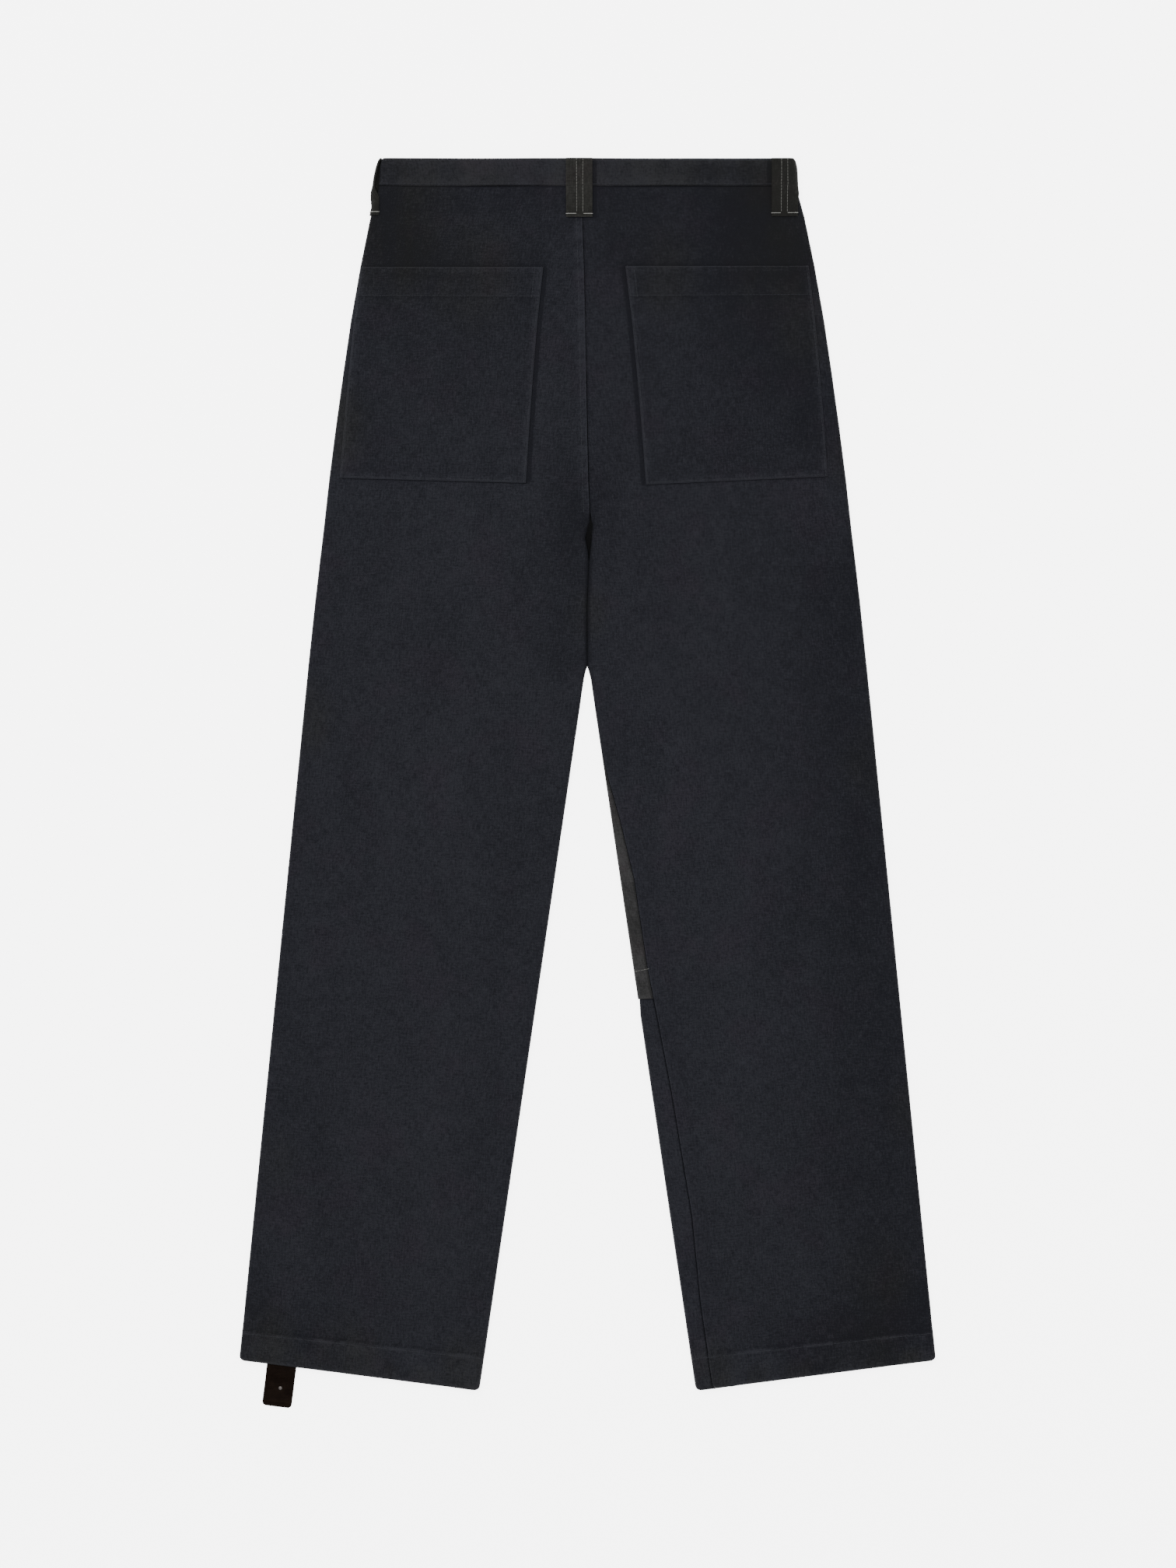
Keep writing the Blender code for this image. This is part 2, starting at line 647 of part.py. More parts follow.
def hem_strap(name, collection):
    """A strap that comes out between the hem's layers and lies down on the floor."""
    middle, down_way, across = strap_frame()
    bend = STRAP_SHOWS * 0.45
    level = HEM_WALL + GAP + STRAP_WALL
    half = STRAP_WIDTH / 2
    Step = namedtuple("Step", "run height half")
    corner = STRAP_CORNER
    steps = [
        Step(-STRAP_TUCK, level, half),
        Step(0.0020, level, half),
        Step(bend, STRAP_WALL, half),
        Step(STRAP_SHOWS - corner, STRAP_WALL, half),
        Step(STRAP_SHOWS - corner * 0.4, STRAP_WALL, half - corner * 0.2),
        Step(STRAP_SHOWS, STRAP_WALL, half - corner),
    ]
    lines = []
    for step in reversed(steps):
        line = []
        for share in [-1.0, -0.5, 0.0, 0.5, 1.0]:
            point = middle + down_way * step.run + across * (share * step.half)
            line.append(point + Vector((0.0, 0.0, step.height)))
        lines.append(line)
    piece = add_object(name, bent_grid(name, lines, True), LEATHER, collection)
    thicken(piece, STRAP_WALL)


def strap_rivet(name, collection):
    """A low rivet head on the strap."""
    middle, down_way, across = strap_frame()
    edge = RIVET_HEIGHT * 0.4
    profile = [
        (0.0, RIVET_HEIGHT),
        (RIVET_RADIUS - edge, RIVET_HEIGHT),
        (RIVET_RADIUS, RIVET_HEIGHT - edge),
        (RIVET_RADIUS, 0.0),
        (0.0, 0.0),
    ]
    mesh = bpy.data.meshes.new(name)
    mesh.from_pydata([(x, 0.0, z) for x, z in profile], [(i, i + 1) for i in range(4)], [])
    piece = add_object(name, mesh, METAL, collection)
    place = middle + down_way * (STRAP_SHOWS - RIVET_FROM_END) + across * RIVET_ASIDE
    piece.location = (place.x, place.y, STRAP_WALL + GAP)
    turn = piece.modifiers.new("turned", "SCREW")
    turn.steps = 16
    turn.render_steps = 16
    turn.use_merge_vertices = True
    turn.merge_threshold = TURNED_MERGE


def build():
    for old in list(bpy.data.objects):
        bpy.data.objects.remove(old, do_unlink=True)
    trousers = collection_named("work trousers")
    cutters = collection_named("cutters")
    for word, side in (("left", -1), ("right", 1)):
        back_panel("back_panel_" + word, side, trousers)
        front_panel("front_panel_" + word, side, trousers)
    knee_panel("knee_panel_right", trousers)
    waistband("waistband", trousers, cutters)
    waist_button("waist_button", trousers)
    fly_shield("fly_shield", trousers)
    for loop in LOOPS:
        belt_loop(loop, trousers)
    for word, pocket in zip(("left", "right"), POCKETS):
        patch_pocket("back_pocket_" + word, pocket, trousers)
    hem_strap("hem_strap", trousers)
    strap_rivet("strap_rivet", trousers)


build()
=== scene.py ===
# Work trousers laid flat on their front: the cloth, thread and trim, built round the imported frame.
import math
from collections import namedtuple

import bpy
import numpy as np
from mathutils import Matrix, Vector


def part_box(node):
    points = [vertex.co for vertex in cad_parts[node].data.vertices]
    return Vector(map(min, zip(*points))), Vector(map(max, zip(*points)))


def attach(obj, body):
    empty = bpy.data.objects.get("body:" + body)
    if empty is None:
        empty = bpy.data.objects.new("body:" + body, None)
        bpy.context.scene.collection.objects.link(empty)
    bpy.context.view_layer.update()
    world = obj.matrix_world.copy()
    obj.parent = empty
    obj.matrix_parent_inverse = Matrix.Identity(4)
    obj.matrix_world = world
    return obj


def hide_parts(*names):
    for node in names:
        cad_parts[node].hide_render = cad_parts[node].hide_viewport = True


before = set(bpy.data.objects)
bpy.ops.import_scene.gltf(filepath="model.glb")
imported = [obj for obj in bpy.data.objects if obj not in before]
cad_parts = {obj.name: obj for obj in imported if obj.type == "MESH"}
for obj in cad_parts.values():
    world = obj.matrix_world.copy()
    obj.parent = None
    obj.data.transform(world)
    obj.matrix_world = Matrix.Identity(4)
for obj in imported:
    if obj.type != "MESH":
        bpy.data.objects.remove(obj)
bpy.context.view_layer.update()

# Sizes of the cut, in metres. Down is measured along the outseam from the waist's top edge.
cut = {
    "topY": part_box("waistband")[1].y,
    "bandDepth": 0.0254,
    "outseam": 1.1047,
    "cloth": 0.00105,
    "bandWall": 0.0016,
    "hemWall": 0.0018,
    "loopWall": 0.0013,
    "strapWall": 0.0014,
    "gap": 0.0003,
    "foldSpread": 0.0240,
    "seamUnder": 0.0012,
    "bandMiddle": 0.0054,
    "bandFold": 0.0060,
    "hemCorner": 0.0040,
}

Section = namedtuple("Section", "name down half centre part drop")
sections = [
    Section("waist seam", 0.0257, 0.1918, -0.0060, 0.00015, 0.0),
    Section("under the seam", 0.0375, 0.1950, -0.0053, 0.00015, 0.0),
    Section("loop ends", 0.0547, 0.1997, -0.0045, 0.00015, 0.0),
    Section("pocket mouth", 0.0997, 0.2090, -0.0030, 0.00015, 0.0),
    Section("upper pocket", 0.1500, 0.2178, -0.0019, 0.00015, 0.0),
    Section("mid pocket", 0.2000, 0.2251, -0.0009, 0.00015, 0.0),
    Section("lower pocket", 0.2500, 0.2320, 0.0000, 0.00015, 0.0),
    Section("pocket foot", 0.2974, 0.2380, 0.0011, 0.00015, 0.0),
    Section("seat", 0.3240, 0.2409, 0.0022, 0.00015, 0.0),
    Section("crotch", 0.3350, 0.2421, 0.0028, 0.00100, 0.0003),
    Section("crotch hollow", 0.3480, 0.2436, 0.0008, 0.00300, 0.0007),
    Section("hollow's foot", 0.3610, 0.2452, 0.0014, 0.00080, 0.0011),
    Section("thighs meet", 0.3700, 0.2463, 0.0012, -0.00015, 0.0014),
    Section("groove", 0.4100, 0.2509, -0.0004, -0.00020, 0.0027),
    Section("legs part", 0.4625, 0.2564, -0.0003, -0.00015, 0.0043),
    Section("round the fork", 0.4660, 0.2568, -0.0003, 0.00120, 0.0044),
    Section("below the fork", 0.4740, 0.2576, -0.0002, 0.00320, 0.0047),
    Section("straight inseam", 0.5000, 0.2602, -0.0002, 0.00700, 0.0055),
    Section("above the hem", 1.0755, 0.3173, 0.0, 0.0945, 0.0232),
    Section("hem stitch", 1.0785, 0.3177, 0.0, 0.0950, 0.0234),
    Section("hem", 1.1047, 0.3204, 0.0, 0.0996, 0.0283),
]

# The layers' heights, in the middle and at the folds
knee = {"top": 0.5240, "foot": 0.7596, "ramp": 0.0140, "stitchUp": 0.0245}
Height = namedtuple("Height", "name down middle fold")
heights = [
    Height("waist seam", 0.0257, 0.0047, 0.0060),
    Height("under the seam", 0.0375, 0.0041, 0.0056),
    Height("seat", 0.0547, 0.0039, 0.0055),
    Height("over the knee panel", knee["top"] - knee["ramp"], 0.0039, 0.0055),
    Height("knee panel top", knee["top"], 0.0039, 0.0059),
    Height("knee panel foot", knee["foot"], 0.0039, 0.0059),
    Height("shin", knee["foot"] + knee["ramp"], 0.0039, 0.0055),
    Height("above the hem", 1.0755, 0.0039, 0.0055),
    Height("hem stitch", 1.0785, 0.0056, 0.0064),
]

# How far the right inseam has rolled round the inner fold, on to the back
rollFrom = 0.4700
Roll = namedtuple("Roll", "down reach")
rightRoll = [
    Roll(0.5663, 0.0047),
    Roll(0.6003, 0.0095),
    Roll(0.6523, 0.0143),
    Roll(0.7300, 0.0145),
    Roll(0.8410, 0.0195),
    Roll(0.9540, 0.0215),
    Roll(1.0324, 0.0175),
    Roll(1.1047, 0.0173),
]
# Below the seat the back's inner edge curls over and under, and the front's draws in by the share curled
curl = {
    "from": 0.3260, "to": 0.3600, "clear": 0.0021,
    "draw": ((0.0, 0.06, 0.17, 1.0), (0.00015, 0.00015, 0.0024, 0.0042)),
}
hem = {"shadow": 1.0768, "faded": 1.0780, "turn": 1.0783, "line": 1.0795, "nicks": 1.0797, "stitch": 1.0800}
seatSeam = {"from": 0.0545, "to": 0.3220, "raise": 0.00040, "pucker": 0.00036, "stitchIn": 0.0057}

# The waistband's half width from its top edge down
BandRow = namedtuple("BandRow", "down half")
bandRows = [
    BandRow(0.0, 0.1879),
    BandRow(0.0022, 0.1896),
    BandRow(0.0080, 0.1909),
    BandRow(0.0170, 0.1914),
    BandRow(0.0254, 0.1918),
]

# What lies under the cloth lifts it a little
Lift = namedtuple("Lift", "name x down levelX fadeX levelDown fadeDown height")
lifts = [
    Lift("button", -0.0230, 0.0127, 0.012, 0.050, 0.010, 0.075, 0.0018),
    Lift("left loop", -0.1900, 0.0270, 0.026, 0.060, 0.030, 0.040, 0.0016),
]

# Soft ridges and troughs in the laid cloth: from and to in x, y, with half width and height
Crease = namedtuple("Crease", "fromX fromY toX toY halfWidth height")
creases = [
    Crease(0.012, 0.238, 0.085, 0.205, 0.011, 0.0012),
    Crease(-0.010, 0.236, -0.075, 0.214, 0.010, 0.0010),
    Crease(0.010, 0.224, 0.062, 0.168, 0.012, 0.0009),
    Crease(-0.012, 0.214, -0.070, 0.150, 0.014, 0.0011),
    Crease(-0.190, 0.150, -0.120, 0.118, 0.016, 0.0008),
    Crease(0.205, 0.120, 0.128, 0.096, 0.015, 0.0009),
    Crease(-0.060, 0.020, -0.135, -0.012, 0.018, 0.0010),
    Crease(0.090, 0.012, 0.172, -0.020, 0.017, -0.0008),
    Crease(-0.230, -0.075, -0.150, -0.105, 0.016, 0.0010),
    Crease(-0.085, -0.130, -0.165, -0.165, 0.020, 0.0012),
    Crease(0.110, -0.118, 0.205, -0.092, 0.018, 0.0011),
    Crease(0.130, -0.205, 0.215, -0.240, 0.022, 0.0009),
    Crease(-0.245, -0.250, -0.170, -0.300, 0.020, 0.0009),
    Crease(-0.115, -0.330, -0.190, -0.372, 0.022, 0.0011),
    Crease(0.150, -0.335, 0.240, -0.378, 0.021, 0.0010),
    Crease(0.130, -0.440, 0.185, -0.500, 0.016, 0.0008),
    Crease(-0.270, -0.420, -0.205, -0.470, 0.018, 0.0009),
]


columns = {}


def reading(table, column, down):
    # one column of a table at these distances down
    key = (id(table), column)
    if key not in columns:
        columns[key] = [np.array([getattr(row, name) for row in table]) for name in ("down", column)]
    found = np.interp(down, *columns[key])
    return float(found) if np.ndim(down) == 0 else found


def ease(value):
    value = np.clip(value, 0.0, 1.0)
    return value * value * (3 - 2 * value)


def wobble(along, wavelength, seed):
    # an uneven wave between about -1 and 1, along one line
    draw = np.random.default_rng(seed)
    total = 0.0
    for _ in range(5):
        stretch = wavelength * draw.uniform(0.6, 1.7)
        total = total + np.sin(2 * math.pi * along / stretch + draw.uniform(0, 6.28)) * draw.uniform(0.5, 1.0)
    return total / 2.6


def ripples(x, y, wavelength, seed):
    # the same over a plane
    draw = np.random.default_rng(seed)
    total = 0.0
    for _ in range(7):
        turn = draw.uniform(0, math.pi)
        stretch = wavelength * draw.uniform(0.6, 1.6)
        run = x * math.cos(turn) + y * math.sin(turn)
        total = total + np.sin(2 * math.pi * run / stretch + draw.uniform(0, 6.28)) * draw.uniform(0.4, 1.0)
    return total / 2.8


def seatSeamX(down):
    return reading(sections, "centre", down)


creaseTable = np.array(creases)[:, :, None]


def creaseHeight(x, y):
    fromX, fromY, toX, toY, halfWidth, height = creaseTable.transpose(1, 0, 2)
    length = np.hypot(toX - fromX, toY - fromY)
    runX, runY = (toX - fromX) / length, (toY - fromY) / length
    along = ((x - fromX) * runX + (y - fromY) * runY) / length
    bend = halfWidth * 0.7 * np.sin(along * math.pi * 1.3 + np.arange(len(creases))[:, None])
    aside = (y - fromY) * runX - (x - fromX) * runY + bend
    wide = halfWidth * (0.75 + 0.5 * np.clip(along, 0, 1))
    fade = ease(along / 0.25 + 0.5) * ease((1.15 - along) / 0.55)
    return (height * fade * np.exp(-(aside / wide) ** 2)).sum(axis=0)


def relief(x, y):
    # how far the back's cloth stands off the plain form: waves, creases, the seat seam's edge and the hem
    x = np.asarray(x, float)
    y = np.asarray(y, float)
    down = cut["topY"] - y
    waves = 0.00035 * ripples(x, y, 0.120, 11) + 0.00020 * ripples(x * 1.3, y, 0.045, 12)
    calm = 1 - ease((down - 1.055) / 0.02) * 0.6
    height = np.maximum(waves * calm + creaseHeight(x, y) * calm, -0.00035)
    left = seatSeamX(down) - x
    onSeat = ease((seatSeam["to"] - down) / 0.01) * ease((down - seatSeam["from"]) / 0.008)
    puckers = wobble(down, 0.014, 13) * np.exp(-((left - 0.003) / 0.0045) ** 2)
    ridge = ease((left + 0.0002) / 0.0008) * (1 - ease((left - 0.0068) / 0.0035))
    height = height + onSeat * (seatSeam["raise"] * ridge + seatSeam["pucker"] * puckers)
    right = -left
    height = height - onSeat * 0.00015 * np.exp(-(right / 0.003) ** 2) * (right > 0)
    alongHem = np.exp(-((down - hem["stitch"]) / 0.0040) ** 2)
    height = height - 0.00025 * alongHem + 0.00022 * alongHem * wobble(x, 0.020, 14)
    onHem = ease((down - hem["stitch"]) / 0.006) * ease((cut["outseam"] - down) / 0.006)
    return height + 0.00030 * onHem * wobble(x + 0.3 * y, 0.028, 15)


def floorLift(x, down):
    # how far what lies under the cloth lifts it
    total = np.zeros_like(x)
    for lift in lifts:
        across = 1 - ease((np.abs(x - lift.x) - lift.levelX) / lift.fadeX)
        along = 1 - ease((np.abs(down - lift.down) - lift.levelDown) / lift.fadeDown)
        total += lift.height * across * along
    return total


def foldProfile(reach, radius, middle, inset, level=0.0):
    # distance in from a fold and height, for points this far along the cloth from the fold
    quarter = math.pi / 2 * radius
    turn = np.clip(reach, -quarter, quarter) / radius
    past = np.maximum(np.abs(reach) - quarter, 0.0)
    distance = radius - (radius - inset) * np.cos(turn) + past
    swell = 1 - ease((past - level) / cut["foldSpread"])
    flat = middle + (2 * radius - middle) * swell - inset
    bent = radius + (radius - inset) * np.sin(turn)
    return distance, np.where(reach < -quarter, inset, np.where(past > 0, flat, bent))


LegRow = namedtuple("LegRow", "side down outer way width middle radius roll curl under quarter")


def legRow(side, down):
    # one section of a leg: its fold's place, the way in from it, and the layers' heights there
    outer = np.stack([side * reading(sections, "half", down), cut["topY"] - down], axis=-1)
    innerX = reading(sections, "centre", down) + side * reading(sections, "part", down)
    inner = np.stack([innerX, outer[..., 1] - reading(sections, "drop", down)], axis=-1)
    width = np.linalg.norm(inner - outer, axis=-1)
    way = (inner - outer) / width[..., None]
    last = np.clip(1 - (cut["outseam"] - down) / cut["hemCorner"], 0.0, 1.0)
    back = cut["hemCorner"] * (1 - np.sqrt(1 - 0.98 * last * last))
    outer = outer + way * back[..., None]
    width = width - 2 * back
    fold = reading(heights, "fold", down)
    under = -(math.pi / 4 * fold + cut["seamUnder"])
    roll = under
    if side > 0 and np.all(down > rollFrom):
        first = rightRoll[0]
        roll = reading(rightRoll, "reach", down)
        if down < first.down:
            roll = under + (first.reach - under) * (down - rollFrom) / (first.down - rollFrom)
    turned = ease((down - curl["from"]) / (curl["to"] - curl["from"]))
    middle = reading(heights, "middle", down)
    return LegRow(side, down, outer, way, width, middle, fold / 2, roll, turned, under, math.pi / 4 * fold)


def placed(row, distance, height):
    # points of a section from distances in from the side fold, with lifts and relief
    flat = row.outer + row.way * np.asarray(distance)[:, None]
    rise = ease((height - 0.0012) / 0.0024) * relief(flat[:, 0], flat[:, 1])
    return np.column_stack([flat, height + rise + floorLift(flat[:, 0], row.down)])


def fromSide(row, reach, inset=0.0):
    distance, height = foldProfile(np.asarray(reach, float), row.radius, row.middle, inset)
    return placed(row, distance, height)


def curledProfile(row, step, inset):
    # the upper layer's inner end while it curls over and under, below the seat
    arc = math.pi * row.radius
    turn = math.pi * row.curl
    bend = arc / turn
    top = row.middle + (2 * row.radius - row.middle) * row.curl
    foot = max(top - bend * (1 - math.cos(turn)), curl["clear"] * (1 - row.curl))
    along = arc + cut["seamUnder"] - step
    start = bend * math.sin(turn) + cut["seamUnder"] * math.cos(turn) if row.curl < 0.5 else bend
    here = turn * np.clip(along / arc, 0.0, 1.0)
    past = np.maximum(along - arc, 0.0)
    curled = top - (top - foot) * (1 - np.cos(here)) / (1 - math.cos(turn))
    curled = np.maximum(curled - past * math.sin(turn), 0.0)
    flat = row.middle + (top - row.middle) * (1 - ease(-along / cut["foldSpread"])) - inset
    distance = np.where(along <= 0, start - along, start - bend * np.sin(here) - past * math.cos(turn))
    return distance, np.where(along <= 0, flat, curled)


def innerEnd(row, onTop):
    gap = cut["gap"] if row.roll < row.under + 0.0001 else 0.00045
    return row.roll + gap / 2 if onTop else row.roll - gap / 2


def fromInner(row, reach, onTop, inset=0.0):
    reach = np.asarray(reach, float)
    if row.curl == 1.0:
        distance, height = foldProfile(reach, row.radius, row.middle, inset, max(row.roll, 0.0))
    elif not onTop:
        back = float(np.interp(row.curl, *curl["draw"]))
        distance, height = back + innerEnd(row, False) - reach, np.full(len(reach), inset)
    elif row.curl == 0.0:
        distance, height = reach - row.roll, np.full(len(reach), row.middle)
    else:
        distance, height = curledProfile(row, reach - row.roll, inset)
    return placed(row, row.width - distance, height)


def panelRows(side, step):
    # the sections that a panel's lines follow, from the hem up, closer where the form changes
    downs = set(row.down for row in sections + heights)
    for first, last, closer in (
        (0.0257, 0.0420, 0.0018), (curl["from"], curl["to"] + 0.001, 0.0017), (1.0700, 1.0860, 0.0010),
        (0.042, cut["outseam"], step),
    ):
        downs |= set(np.arange(first, last, closer))
    downs |= {cut["outseam"] - back for back in (0.0003, 0.0008, 0.0016, 0.0027, 0.0040)}
    if side > 0:
        downs |= set(row.down for row in rightRoll) | {rollFrom}
    ordered = sorted(downs, reverse=True)
    kept = [ordered[0]]
    for down in ordered[1:]:
        if kept[-1] - down > 0.00025:
            kept.append(down)
    return kept


def lineAcross(row, sideReach, innerReach, inset, onTop, count):
    # joins the two folds' close points with even ones between them
    near = fromSide(row, sideReach, inset)
    far = fromInner(row, innerReach, onTop, inset)[::-1]
    shares = np.linspace(0, 1, count + 2)[1:-1]
    between = near[-1, :2] + (far[0, :2] - near[-1, :2]) * shares[:, None]
    distance = (between - row.outer) @ row.way
    middle = placed(row, distance, np.full(count, row.middle if onTop else inset))
    line = np.vstack([near, middle, far])
    return line, lengthAlong(line) * row.side


def lengthAlong(line):
    return np.concatenate([[0.0], np.cumsum(np.linalg.norm(np.diff(line, axis=0), axis=1))])


def inScene(name, data):
    made = bpy.data.objects.new(name, data)
    bpy.context.scene.collection.objects.link(made)
    return made


plainCloth = {"wearAndHighlight": 0.0, "shadeAndGrime": 0.0, "olive": 0.0, "shade": 0.0, "rim": 0.02}


def makeCloth(name, lines, us, vs, wall, facesUp, material, values, doubledFrom=None):
    # an open grid of points with a cloth UV map and soft values, given its wall by Solidify
    points = np.array(lines)
    rows, columns = points.shape[:2]
    index = np.arange(rows * columns).reshape(rows, columns)
    quads = np.stack([index[:-1, :-1], index[:-1, 1:], index[1:, 1:], index[1:, :-1]], axis=-1).reshape(-1, 4)
    flat = points.reshape(-1, 3)
    side = np.cross(flat[quads[:, 2]] - flat[quads[:, 0]], flat[quads[:, 3]] - flat[quads[:, 1]])
    if (side[:, 2].sum() > 0) != facesUp:
        quads = quads[:, ::-1]
    mesh = bpy.data.meshes.new(name)
    mesh.from_pydata(flat.tolist(), [], quads.tolist())
    u = np.array(us).reshape(-1)
    v = np.repeat(np.array(vs), columns) if np.ndim(vs) == 1 else np.array(vs).reshape(-1)
    loops = np.empty(len(mesh.loops), np.int32)
    mesh.loops.foreach_get("vertex_index", loops)
    layer = mesh.uv_layers.new(name="cloth")
    layer.data.foreach_set("uv", np.column_stack([u[loops], v[loops]]).astype(np.float32).ravel())
    for label, amount in {**plainCloth, **values}.items():
        amounts = np.broadcast_to(amount, (rows, columns)).astype(np.float32)
        mesh.attributes.new(label, "FLOAT", "POINT").data.foreach_set("value", amounts.ravel())
    mesh.materials.append(material)
    mesh.shade_smooth()
    piece = inScene(name, mesh)
    wallMaker = piece.modifiers.new("wall", "SOLIDIFY")
    wallMaker.thickness = wall
    wallMaker.offset = -1.0
    wallMaker.use_quality_normals = True
    if doubledFrom is not None:
        group = piece.vertex_groups.new(name="thick")
        thick = [i for i in range(rows * columns) if vs[i // columns] >= doubledFrom]
        group.add(thick, 1.0, "REPLACE")
        wallMaker.vertex_group = "thick"
        wallMaker.thickness_vertex_group = cut["cloth"] / wall
    return piece, float(np.linalg.norm(side, axis=1).sum() / 2)


# Materials
class Value:
    # wraps a socket, so that maths on it adds Math nodes
    def __init__(self, graph, socket):
        self.graph = graph
        self.socket = socket

    def math(self, operation, other=None, swap=False):
        values = [other, self] if swap else [self, other]
        inputs = {i: value for i, value in enumerate(values) if value is not None}
        return self.graph.node("ShaderNodeMath", {"operation": operation}, inputs)

    def __add__(self, other):
        return self.math("ADD", other)

    __radd__ = __add__

    def __sub__(self, other):
        return self.math("SUBTRACT", other)

    def __rsub__(self, other):
        return self.math("SUBTRACT", other, swap=True)

    def __mul__(self, other):
        return self.math("MULTIPLY", other)

    __rmul__ = __mul__

    def sine(self):
        return self.math("SINE")

    def between(self, low, high):
        # 0 at low, 1 at high, eased and kept within
        return self.graph.node(
            "ShaderNodeMapRange",
            {"interpolation_type": "SMOOTHSTEP", "clamp": True},
            {"Value": self, "From Min": low, "From Max": high},
        )


class Finish:
    # one material's node tree
    def __init__(self, name):
        self.material = bpy.data.materials.new(name)
        self.material.use_nodes = True
        self.tree = self.material.node_tree
        self.shader = self.tree.nodes["Principled BSDF"]

    def put(self, socket, value):
        if isinstance(value, Value):
            self.tree.links.new(value.socket, socket)
        elif isinstance(value, (tuple, list)) and len(value) == 3 and socket.type == "RGBA":
            socket.default_value = (*value, 1.0)
        else:
            socket.default_value = value

    def node(self, kind, settings=None, inputs=None, output=0):
        made = self.tree.nodes.new(kind)
        for setting, choice in (settings or {}).items():
            setattr(made, setting, choice)
        for key, value in (inputs or {}).items():
            self.put(made.inputs[key], value)
        return Value(self, made.outputs[output])

    def mix(self, share, first, second):
        # two colours, the second at this share
        return self.node("ShaderNodeMix", {"data_type": "RGBA"}, {0: share, 6: first, 7: second}, output=2)

    def scaled(self, vector, x, y, z=1.0):
        return self.node("ShaderNodeVectorMath", {"operation": "MULTIPLY"}, {0: vector, 1: (x, y, z)})

    def place(self):
        return self.node("ShaderNodeTexCoord", output="Object")

    def noise(self, vector, scale, detail=3.0, roughness=0.6):
        inputs = {"Vector": vector, "Scale": scale, "Detail": detail, "Roughness": roughness}
        return self.node("ShaderNodeTexNoise", None, inputs)

    def attribute(self, name):
        return self.node("ShaderNodeAttribute", {"attribute_name": name}, output="Fac")

    def bump(self, height, distance, strength=1.0, under=None):
        inputs = {"Height": height, "Distance": distance, "Strength": strength}
        if under is not None:
            inputs["Normal"] = under
        return self.node("ShaderNodeBump", None, inputs)

    def clearFromBehind(self):
        # lets the piece be seen through from its back
        behind = self.node("ShaderNodeNewGeometry", output="Backfacing")
        clear = self.node("ShaderNodeBsdfTransparent")
        front = Value(self, self.shader.outputs[0])
        shown = self.node("ShaderNodeMixShader", None, {0: behind, 1: front, 2: clear})
        self.tree.links.new(shown.socket, self.tree.nodes["Material Output"].inputs["Surface"])

    def end(self, **values):
        for name, value in values.items():
            self.put(self.shader.inputs[name], value)
        return self.material


def twill(name, look):
    # heavy cotton twill: diagonal ribs, short slubs both ways, broad faded clouds, wear with painted
    # highlights, grime with painted shade, broad painted shade and light, and painted shadow beside edges that
    # lie over it
    made = Finish(name)
    cloth = made.node("ShaderNodeUVMap", {"uv_map": "cloth"})
    place = made.place()
    u = made.node("ShaderNodeSeparateXYZ", None, {0: cloth})
    v = Value(made, u.socket.node.outputs[1])
    clouds = made.noise(made.scaled(place, 1.0, 0.40), look["cloudScale"], 4.0)
    patches = made.noise(place, look["patchScale"])
    warp = made.noise(made.scaled(cloth, 1 / 0.0011, 1 / 0.0085), 1.0, 2.5, 0.65)
    weft = made.noise(made.scaled(cloth, 1 / 0.0070, 1 / 0.0012), 1.0, 2.0)
    grain = made.noise(cloth, 1 / 0.0019, 2.0)
    ribs = ((u + v * 0.62) * (2 * math.pi / look["ribPitch"]) + (warp - 0.5) * 2.2).sine() * 0.5 + 0.5
    threads = ((u - v * 1.6) * (2 * math.pi / (look["ribPitch"] * 0.45))).sine() * 0.5 + 0.5
    fade = (clouds - 0.5) * look["cloud"] + (patches - 0.5) * look["patch"]
    fade = fade + (warp - 0.5) * look["warp"] + (weft - 0.5) * look["weft"] + (grain - 0.5) * look["grain"]
    fade = fade + (ribs - 0.5) * look["rib"]
    # lighter where worn, and painted highlight on edges and ridges that catch the light
    fade = fade + made.attribute("wearAndHighlight") * (look["wearAndHighlight"] + (grain - 0.5) * look["wearAndHighlight"])
    # darker: mostly painted shade by seams, folds, hems, the hollow and pocket mouths, with some darker tone;
    # then broad painted shade and light
    fade = fade - made.attribute("shadeAndGrime") * look["shadeAndGrime"] + made.attribute("shade")
    # painted shadow: a crisp dark line and a soft wider one just outside each pocket, loop, band or panel edge
    # over the cloth
    rim = made.attribute("rim")
    crispShadow, softShadow = 1 - rim.between(0.0003, 0.0014), 1 - rim.between(0.0, 0.0045)
    fade = fade - crispShadow * look["rim"] - softShadow * (look["rim"] * 0.12)
    level = (fade + 0.5).between(0.0, 1.0)
    tint = made.mix(level, look["deep"], look["pale"])
    olive = made.attribute("olive") * (clouds.between(0.38, 0.62) * 0.6 + 0.4)
    tint = made.mix(olive, tint, made.mix(level, look["oliveDeep"], look["olivePale"]))
    purple = made.noise(place, 17.0).between(0.50, 0.66) * 0.8
    tint = made.mix(purple, tint, made.scaled(tint, 1.07, 0.955, 1.0))
    surface = ribs * 0.6 + threads * ribs * 0.4 + (warp + weft) * 0.45
    normal = made.bump(surface, look["ribDepth"])
    normal = made.bump(grain + patches * 2.0, look["ribDepth"] * 1.2, 0.6, normal)
    return made.end(**{
        "Base Color": tint,
        "Roughness": look["roughness"] - (ribs - 0.5) * 0.06,
        "Specular IOR Level": look["specular"],
        "Sheen Weight": look["sheen"],
        "Sheen Roughness": 0.6,
        "Normal": normal,
    })
